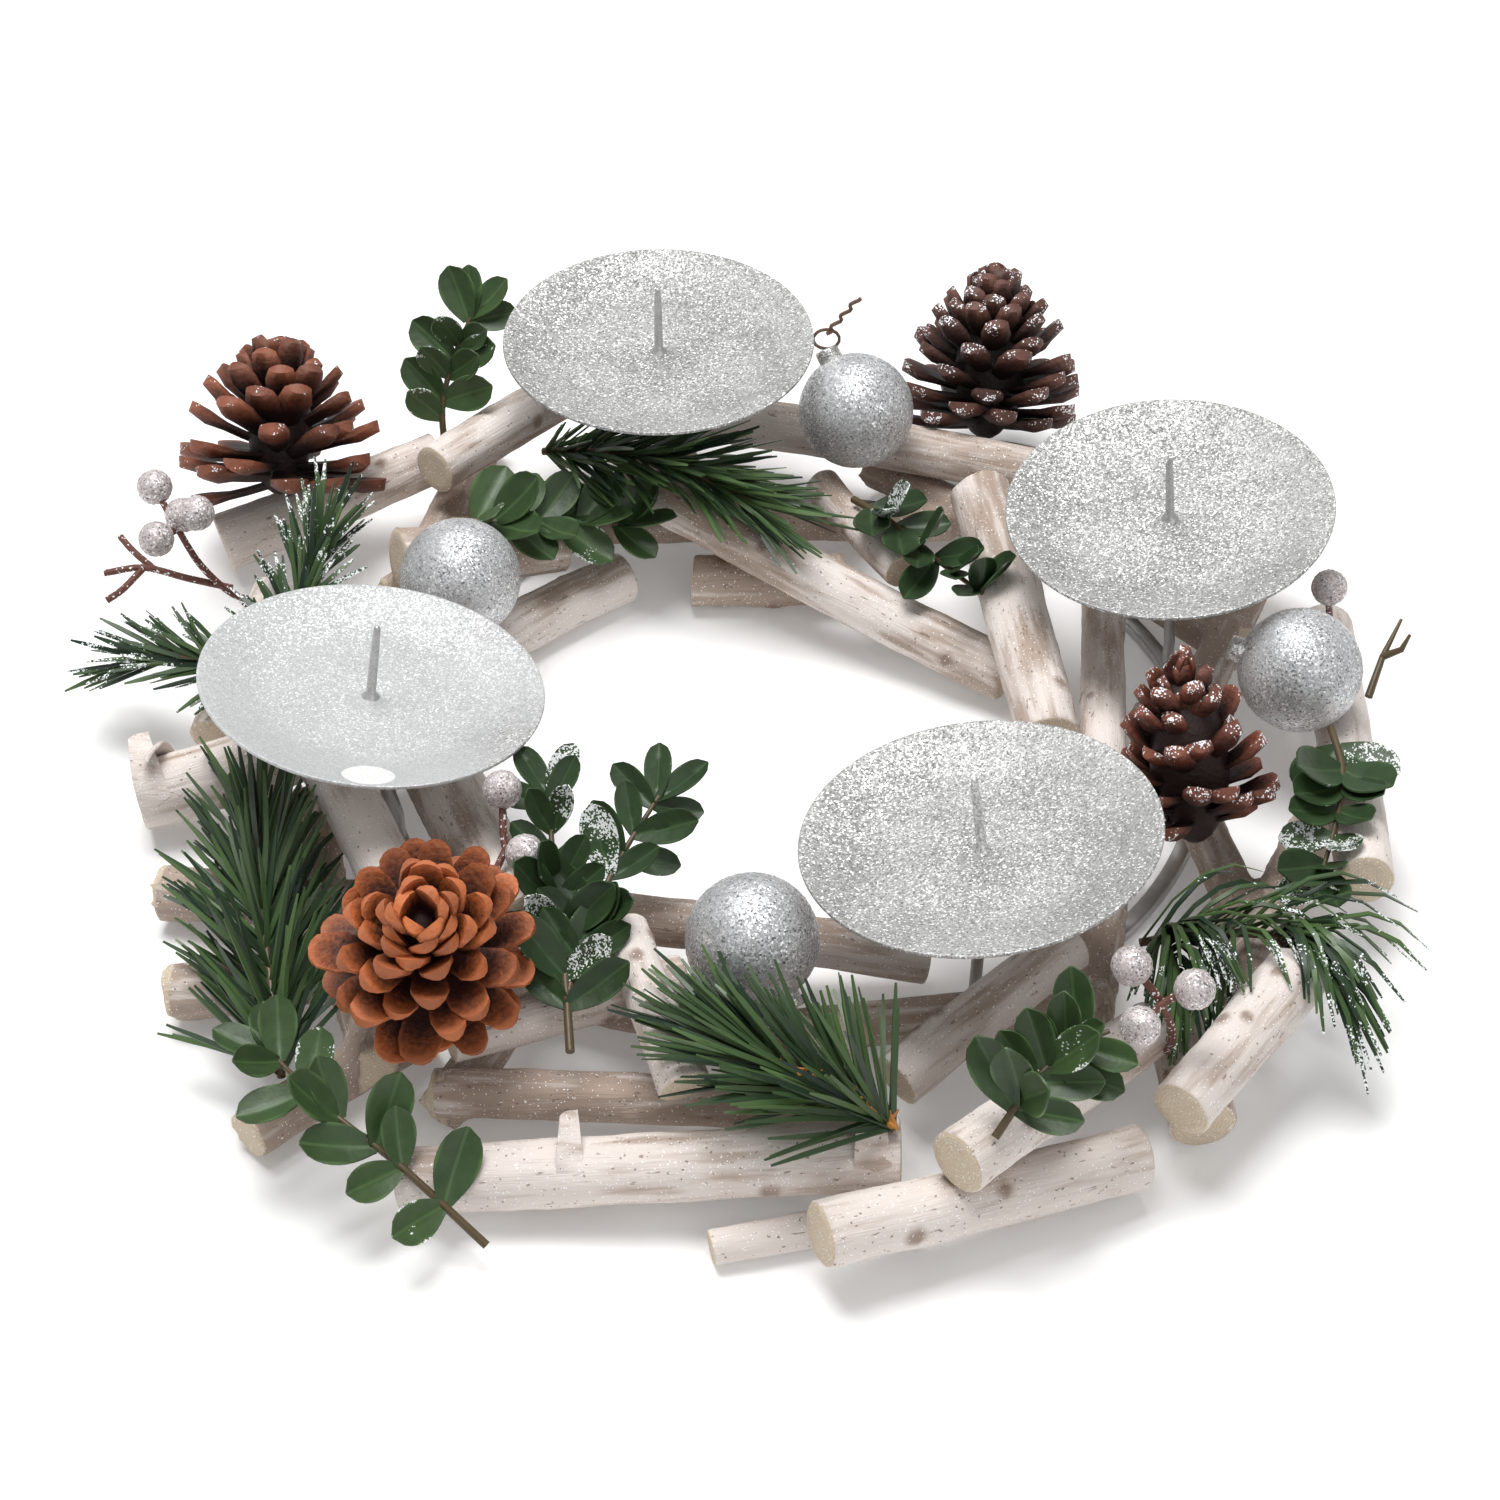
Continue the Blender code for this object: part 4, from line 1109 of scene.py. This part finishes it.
for node, (plan, tip, *measures) in CONES.items():
    shapes = pine_cone(*measures)
    if node == "pine_cone_front":
        shapes.append(wire(*STEM, 12, (0.72, 0, 0.6)))
    stand = upright((*plan, 0), Vector(tip).normalized())
    shapes = [(moved(points, stand), faces, marks) for points, faces, marks in shapes]
    solid = corners(node)[:, 2]
    own = np.hstack([points[:, 2] for points, _, _ in shapes])
    drop = (0, 0, (solid.max() + solid.min() - own.max() - own.min()) / 2)
    shapes = [(points + drop, faces, marks) for points, faces, marks in shapes]
    print(node, settle(node, "_scaled", shapes, CONE_PAINTS[node], "cone"), "triangles")

# %% [markdown]
# ## What the green may touch
#
# Leaves and needles bend round whatever is near. A search tree of all the hard pieces lets the
# script ask, for any leaf, whether it would run into something.

# %% Obstacles
PATH_STEPS = 6


def solid_tree(nodes):
    """One search tree of several CAD solids, in millimetres from the hoop's centre."""
    shape = bmesh.new()
    for node in nodes:
        shape.from_mesh(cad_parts[node].data)
    shape.transform(TO_FRAME.inverted())
    return BVHTree.FromBMesh(shape)


def seated(node, stems):
    """Smooth stems of a spray, at the height that its solid was lowered to."""
    start = np.array(stems[0][0][0], float)
    drop = np.array((0, 0, corners_near(node, start[:2], 2.0)[:, 2].mean() - start[2]))
    return [[point + drop for point in smooth_path(stem[0], PATH_STEPS)] for stem in stems]


def facing(root, aim, up):
    """A place at root with +X along aim and +Z as near to up as it can be."""
    side = unit(np.cross(up, aim))
    matrix = np.eye(4)
    matrix[:3, :3] = columns(aim, side, np.cross(aim, side))
    matrix[:3, 3] = root
    return matrix


hard = [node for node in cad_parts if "spray" not in node]
obstacles = solid_tree(hard)
print("obstacles:", len(hard), "solids")

# %% [markdown]
# ## Box leaves
#
# The box sprigs are moulded plastic: oval leaves with a pressed midrib, cupped, in pairs up a
# brown-green stem. One leaf is a small grid pressed to shape and given the thickness of the sheet.

# %% Model a leaf
LEAF_LENGTH = 20.0
LEAF_WIDTH = 11.5
LEAF_SHEET = 0.5


def leaf():
    """A leaf along X from its stalk. Marks are shares of the length and the width, and 0."""
    deselect()
    bpy.ops.mesh.primitive_grid_add(x_subdivisions=10, y_subdivisions=6, size=2)
    blade = bpy.context.active_object
    for v in blade.data.vertices:
        t = (v.co.x + 1) / 2
        half = LEAF_WIDTH / 2 * max(0.06, math.sin(math.pi * min(1, t**1.3 * 0.97 + 0.03)) ** 0.5)
        edge = abs(v.co.y)
        crease = 0.5 * math.exp(-((edge / 0.18) ** 2)) * math.sin(math.pi * t)
        curve = edge**1.6 * half * 0.30 + LEAF_LENGTH * (0.16 * t * t - 0.05 * t)
        v.co = (LEAF_LENGTH * t, v.co.y * half, curve - crease)
    applied(blade, "SOLIDIFY", thickness=LEAF_SHEET, offset=0)
    points, faces = triangles(blade)
    return points, faces, columns(points[:, 0] / LEAF_LENGTH, np.abs(points[:, 1]) / (LEAF_WIDTH / 2), 0)


LEAF = leaf()
print("leaf:", len(LEAF[1]), "triangles")

# %% [markdown]
# ## Colour of the leaves
#
# The plastic is matt green, with a paler rib and rim. Some sprigs were sprayed
# with glue and dusted, so whole leaves of them are silver.

# %% Leaf materials


def leaf_finish(name, frosting, deep, pale):
    """Green plastic, glitter frost on tips and rims, brown where the shade mark is under 0."""
    paint = Paint(name, Specular_IOR_Level=0.4)
    at = paint.place()
    along, aside, shade = paint.marks()
    mottle = paint.clouds(at, 240, 3)
    colour = paint.mix(mottle * 0.7 + shade * 0.5, deep, pale)
    rim = paint.ease(aside, 0.78, 0.98)
    rib = aside < 0.07
    colour = paint.mix(rim * 0.65 + rib * 0.35, colour, scaled(pale, 1.8))
    colour = paint.mix(shade < -0.5, colour, (0.085, 0.060, 0.028))
    cover = mottle + rim * 0.25 + along * 0.2 + (shade > 0.82) * 0.45
    frosted = frost(paint, at, paint.ease(cover, 1.15 - frosting, 1.45 - frosting), 0.35)
    colour = paint.mix(frosted, colour, (0.72, 0.75, 0.74))
    relief = paint.bump(mottle, 0.0005, 0.5)
    return paint.wear(Base_Color=colour, Roughness=0.42 + frosted * 0.1, Normal=relief)


clean_leaf = leaf_finish("box_leaf", 0.02, (0.010, 0.028, 0.008), (0.055, 0.100, 0.034))
frosted_leaf = leaf_finish("frosted_box_leaf", 0.24, (0.007, 0.020, 0.006), (0.036, 0.070, 0.025))
print("leaf paints:", clean_leaf.name, frosted_leaf.name)

# %% [markdown]
# ## Box sprigs
#
# The leaves stand in pairs, each pair turned from the one before. Each is tried flat first and bent
# up a little at a time until it is clear of what lies round it. The leaves were pushed over a
# little when the wreath was made, so that their faces show.

# %% Sprigs of box
LEAF_BENDS = (0, 12, 24, 38, 52, 68)  # degrees
STEM_BARE = 0.16  # share of a stem below its first leaves
LEAFY = 0.92  # share of a stem where its last pair stands
SHORT_LEAFY = {"box_spray_front_right": 0.7}  # so that the berries behind it show
TO_VIEWER = np.array((0.1, -0.8, 0.2))
BROWN_STEM = (0, 0, -1)  # marks of stems and twigs
# For each stem: its points before it was lowered, leaf pairs, leaf length, leaf width
BOX_SPRAYS = {
    "box_spray_back_left": [([(-90, 92, 30), (-91, 98, 42), (-88, 105, 53), (-83, 113, 62)], 7, 17, 10.5)],
    "box_spray_back_hole": [([(-86, 54, 42), (-73, 53, 42), (-59, 57, 39), (-42, 61, 35)], 7, 18, 11)],
    "box_spray_right_hole": [([(16, 68, 26), (25, 56, 28), (36, 42, 27), (47, 28, 27)], 7, 17, 9.5)],
    "box_spray_front_hole": [
        ([(-49, -130, 22), (-51, -108, 27), (-54, -84, 31), (-56, -62, 36)], 9, 17.5, 8.6),
        ([(-50, -116, 25), (-46, -98, 29), (-39, -80, 33), (-31, -66, 38)], 7, 17.5, 8.6),
    ],
    "box_spray_front_left": [
        ([(-66, -165, 3), (-84, -153, 14), (-100, -142, 20), (-114, -126, 21)], 6, 18, 10.5),
    ],
    "box_spray_right": [([(127, -24, 36), (128, -38, 35), (125, -53, 33), (120, -68, 30)], 6, 17.5, 12)],
    "box_spray_front_right": [([(40, -161, 22), (48, -153, 30), (56, -147, 34), (64, -144, 36)], 7, 18, 9.5)],
}
TWIGS = {
    "box_spray_right": (
        [(137, -14, 30), (141, -5, 35), (146, 3, 40)],
        [(141, -5, 35), (145, -6, 38), (147, -4, 41)],
    ),
}
FROSTED = ("box_spray_right_hole", "box_spray_front_hole", "box_spray_right")


def add_leaf(shapes, root, aim, up, length, width):
    """Adds a leaf at the first bend that keeps it clear, if there is one."""
    points, faces, marks = LEAF
    size = np.diag((length / LEAF_LENGTH, width / LEAF_WIDTH, length / LEAF_LENGTH, 1))
    for bend in LEAF_BENDS:
        way = unit(unit(aim) + up * math.tan(math.radians(bend)))
        trial = moved(points, facing(root, way, up) @ size)
        if trial[:, 2].min() < 0.5 or BVHTree.FromPolygons(trial.tolist(), faces.tolist()).overlap(obstacles):
            continue
        shapes.append((trial, faces, marks + (0, 0, chance.uniform(0, 1))))
        return


def sprig(stems, leafy):
    """Stems with leaves up to a share of their length."""
    shapes = []
    for path, (_, pairs, length, width) in stems:
        last = len(path) - 1
        shapes.append(wire(path, [1.0 - 0.45 * k / last for k in range(last + 1)], 8, BROWN_STEM))
        for pair in range(pairs):
            k = min(last - 1, round(last * (STEM_BARE + (leafy - STEM_BARE) * pair / (pairs - 1))))
            forward = unit(path[k + 1] - path[k - 1])
            side = unit(np.cross(forward, UP))
            up = unit(np.cross(side, forward) + TO_VIEWER * chance.uniform(0, 0.9))
            side = unit(np.cross(forward, up))
            for sign in (1, -1):
                roll = math.radians(chance.uniform(-22, 40) + (34 if pair % 2 else 0))
                out = side * sign * math.cos(roll) + up * math.sin(roll)
                size = chance.uniform(0.74, 1.04) * (1 - 0.12 * pair / pairs)
                aim = out + forward * chance.uniform(0.3, 1.3)
                add_leaf(shapes, path[k], aim, up, length * size, width * size)
        forward = unit(path[-1] - path[-3])
        up = np.cross(unit(np.cross(forward, UP)), forward)
        for roll in (-0.5, 0.5) if leafy == LEAFY else ():
            aim = forward + np.cross(forward, up) * roll
            add_leaf(shapes, path[-1] - forward, aim, up, length * 0.82, width * 0.75)
    return shapes


for node, stems in BOX_SPRAYS.items():
    shapes = sprig(list(zip(seated(node, stems), stems)), SHORT_LEAFY.get(node, LEAFY))
    print(node, len(shapes) - len(stems), "leaves")
    shapes += [wire(twig, (1.0, 0.8, 0.4), 8, BROWN_STEM) for twig in TWIGS.get(node, ())]
    settle(node, "_leaves", shapes, frosted_leaf if node in FROSTED else clean_leaf, "box_leaf")

# %% [markdown]
# ## Pine sprays
#
# The pine is cut from flat green film: long narrow needles twisted into a wire, so that they stand
# out all round it and point forwards. A long stem carries up to 230. Each is a thin box cut
# into a few lengths, with a slight curve of its own.

# %% Model a needle
NEEDLE_WIDTH = 1.15
NEEDLE_THICK = 0.45


def needle():
    """A flat needle of unit length along X. The first mark is the share of the length."""
    deselect()
    bpy.ops.mesh.primitive_cube_add(size=2)
    film = bpy.context.active_object
    bpy.ops.object.mode_set(mode="EDIT")
    choose(film, "EDGE", lambda edge: abs(edge.verts[0].co.x - edge.verts[1].co.x) > 1)
    bpy.ops.mesh.subdivide(number_cuts=3)
    points, faces = triangles(film)
    t = (points[:, 0] + 1) / 2
    taper = np.where(t > 0.9, 0.45, 1.0)
    return columns(t, points[:, 1] * 0.5 * taper, points[:, 2] * 0.5 * taper), faces, columns(t, 0, 0)


def pine_finish(name, frosting):
    """Green film and frosted ends. Marks are along, shade and kind: needle, wire or husk."""
    paint = Paint(name, Specular_IOR_Level=0.45)
    at = paint.place()
    along, shade, kind = paint.marks()
    colour = paint.mix(shade, (0.006, 0.021, 0.011), (0.075, 0.135, 0.042))
    # Painted shade: each needle darkens towards its root on the wire, where the needles crowd
    colour = paint.mix(paint.ease(along, 0.0, 0.25), (0.03, 0.06, 0.02), colour)
    colour = paint.mix(kind > 0.5, colour, (0.10, 0.055, 0.025))
    colour = paint.mix(kind > 1.5, colour, (0.46, 0.20, 0.05))
    cover = paint.ease(paint.clouds(at, 130, 2) + along * 0.35, 1.25 - frosting, 1.5 - frosting)
    frosted = frost(paint, at, cover, 0.4) * (kind < 0.5)
    colour = paint.mix(frosted, colour, (0.86, 0.90, 0.90))
    return paint.wear(Base_Color=colour, Roughness=0.4 + frosted * 0.1)


NEEDLE = needle()
pine_green = pine_finish("pine_needle", 0.16)
pine_frosted = pine_finish("frosted_pine_needle", 0.5)
print("needle:", len(NEEDLE[1]), "triangles, paints:", pine_green.name, pine_frosted.name)

# %% [markdown]
# ## Pine sprays, set by rule
#
# Every needle starts on the wire and leans forward. Rays from its root to its middle and on to its
# tip find what it would run into, and it is bent up until the way is clear. The needles of the
# right spray hang in a bunch, and arch over the stick in front of them.

# %% Sprays of pine
NEEDLE_BENDS = (0, 10, 20, 32, 45, 60)  # degrees
NEEDLE_ROLLS = (-14, -4, 6, 16, 30, 50, 72)  # degrees round the stem
NEEDLE_ROOM = 0.6
HUSKS = 26
# For each stem: its points before it was lowered, needle count, needle length
PINE_SPRAYS = {
    "pine_spray_left": [([(-113, -122, 22), (-117, -100, 28), (-121, -78, 32), (-124, -54, 32)], 230, 33)],
    "pine_spray_left_back": [
        ([(-124, 4, 24), (-138, 3, 26), (-150, 7, 26), (-160, 10, 23)], 90, 21.5),
        ([(-124, 4, 24), (-123, 18, 26), (-120, 30, 32), (-117, 40, 38)], 90, 22),
    ],
    "pine_spray_back": [([(-64, 82, 24), (-48, 76, 28), (-30, 68, 30), (-10, 57, 26)], 190, 30)],
    "pine_spray_front": [([(20, -150, 26), (10, -145, 30), (-2, -139, 32), (-12, -132, 32)], 190, 32)],
    "pine_spray_right": [
        ([(77, -88, 40), (89, -86, 41), (102, -86, 41), (115, -87, 40)], 24, 34),
        ([(82, -85, 40), (83, -92, 41), (84, -99, 40)], 80, 34),
        ([(95, -84, 41), (96, -91, 41), (97, -98, 40)], 80, 34),
        ([(108, -85, 40), (110, -91, 40), (112, -98, 39)], 80, 34),
    ],
}
FROSTED_PINE = ("pine_spray_left_back", "pine_spray_right")
# How far the needles spread against the others, and how high they arch, by their length
HANGING = {"pine_spray_right": (0.55, 0.30)}


def way_is_clear(root, aim, reach, crest):
    """Whether nothing lies in a needle's way, from its root over its middle to its tip."""
    stops = [root + aim * 1.5, root + aim * reach * 0.5 + crest, root + aim * (reach + 1)]
    for start, stop in zip(stops, stops[1:]):
        way = stop - start
        if obstacles.ray_cast(Vector(start), Vector(unit(way)), np.linalg.norm(way))[0]:
            return False
        if obstacles.find_nearest(Vector(stop), NEEDLE_ROOM)[0]:
            return False
    return stops[-1][2] > NEEDLE_ROOM


def pine_needles(path, count, length, spread_share, arch):
    """Needles all along a stem, each bent up until its way is clear."""
    found = []
    points, faces, marks = NEEDLE
    along = marks[:, 0]
    last = len(path) - 1
    for i in range(count):
        t = (i + chance.random()) / count
        k = min(last - 1, int(t * last))
        root = path[k] + (path[k + 1] - path[k]) * (t * last - k)
        forward = unit(path[k + 1] - path[k])
        side = unit(np.cross(forward, UP))
        up = np.cross(side, forward)
        sign = 1 if i % 2 else -1
        roll = math.radians(chance.choice(NEEDLE_ROLLS) + chance.uniform(-6, 6))
        spread = math.radians(chance.uniform(26, 54) * (1.15 - 0.65 * t) * spread_share)
        reach = length * chance.uniform(0.72, 1.0)
        crest = np.array((0, 0, arch * reach))
        for bend in NEEDLE_BENDS:
            tilt = roll + math.radians(bend)
            out = side * sign * math.cos(tilt) + up * math.sin(tilt)
            aim = forward * math.cos(spread) + out * math.sin(spread)
            if way_is_clear(root, aim, reach, crest):
                place = facing(root, aim, unit(up + side * chance.uniform(-1, 1)))
                placed = moved(points, place @ np.diag((reach, NEEDLE_WIDTH, NEEDLE_THICK, 1)))
                curl = chance.uniform(-0.12, 0.12) * reach
                bent = placed + np.outer(along**2, side * curl) + np.outer(4 * along * (1 - along), crest)
                found.append((bent, faces, marks + (0, chance.random(), 0)))
                break
    return found


def husks(path):
    """Short orange-brown husks along a stem."""
    bits = []
    for i in range(HUSKS):
        root = path[int(len(path) * (i + 0.5) / HUSKS)]
        aim = unit(np.array([chance.uniform(-1, 1), chance.uniform(-1, 1), chance.uniform(0.5, 1)]))
        bits.append(wire([root, root + aim * 2.2, root + aim * 4.4], (0.9, 0.7, 0.2), 6, (1, 0, 2)))
    return bits


for node, stems in PINE_SPRAYS.items():
    shapes = []
    for path, (_, count, length) in zip(seated(node, stems), stems):
        shapes.append(wire(path, 1.0, 8, (0, 0, 1)))
        shapes += pine_needles(path, count, length, *HANGING.get(node, (1, 0)))
    print(node, len(shapes) - len(stems), "needles")
    if node == "pine_spray_front":
        shapes += husks(path)
    settle(node, "_needles", shapes, pine_frosted if node in FROSTED_PINE else pine_green, "pine_needle")

# %% [markdown]
# ## Floor, light and camera
#
# The photograph is taken from above at about forty degrees with a long lens, on plain white. One
# large lamp overhead, a weak one in front and a pale sky light it evenly, with soft shadows.

# %% Stage
CAMERA_AIM = Vector((0.0065, -0.0143, 0.030))
CAMERA_DISTANCE = 0.8301
CAMERA_RISE = math.radians(41.12)
SKY_STRENGTH = 0.36

deselect()
bpy.ops.mesh.primitive_plane_add(size=6, location=(0, 0, -0.0002))
floor = bpy.context.active_object
floor.name = "floor"
floor_paint = Paint("pale_floor", Base_Color=(0.9, 0.9, 0.9), Roughness=0.9)
floor.data.materials.append(floor_paint.wear(Emission_Color=WHITE, Emission_Strength=0.12))


def lamp(name, place, size, power):
    """A square lamp that points at the wreath."""
    deselect()
    bpy.ops.object.light_add(type="AREA", location=place)
    made = bpy.context.active_object
    made.name = name
    made.data.size = size
    made.data.energy = power
    made.rotation_euler = (-Vector(place)).to_track_quat("-Z", "Y").to_euler()


lamp("overhead", (-0.2, 0.25, 1.5), 0.9, 27)
lamp("front_fill", (0.7, -1.3, 1.0), 1.2, 5)
world = bpy.data.worlds.new("pale_sky")
bpy.context.scene.world = world
world.use_nodes = True
sky = world.node_tree.nodes["Background"].inputs
sky["Color"].default_value = (1, 1, 1, 1)
sky["Strength"].default_value = SKY_STRENGTH
bpy.context.scene.view_settings.view_transform = "Standard"

back = Vector((0, -math.cos(CAMERA_RISE), math.sin(CAMERA_RISE)))
bpy.ops.object.camera_add(location=CAMERA_AIM + back * CAMERA_DISTANCE)
camera = bpy.context.active_object
camera.rotation_euler = (-back).to_track_quat("-Z", "Y").to_euler()
camera.data.lens = 85
camera.data.sensor_width = 36
camera.data.clip_start = 0.05
bpy.context.scene.camera = camera
print("camera at", [round(v, 3) for v in camera.location])
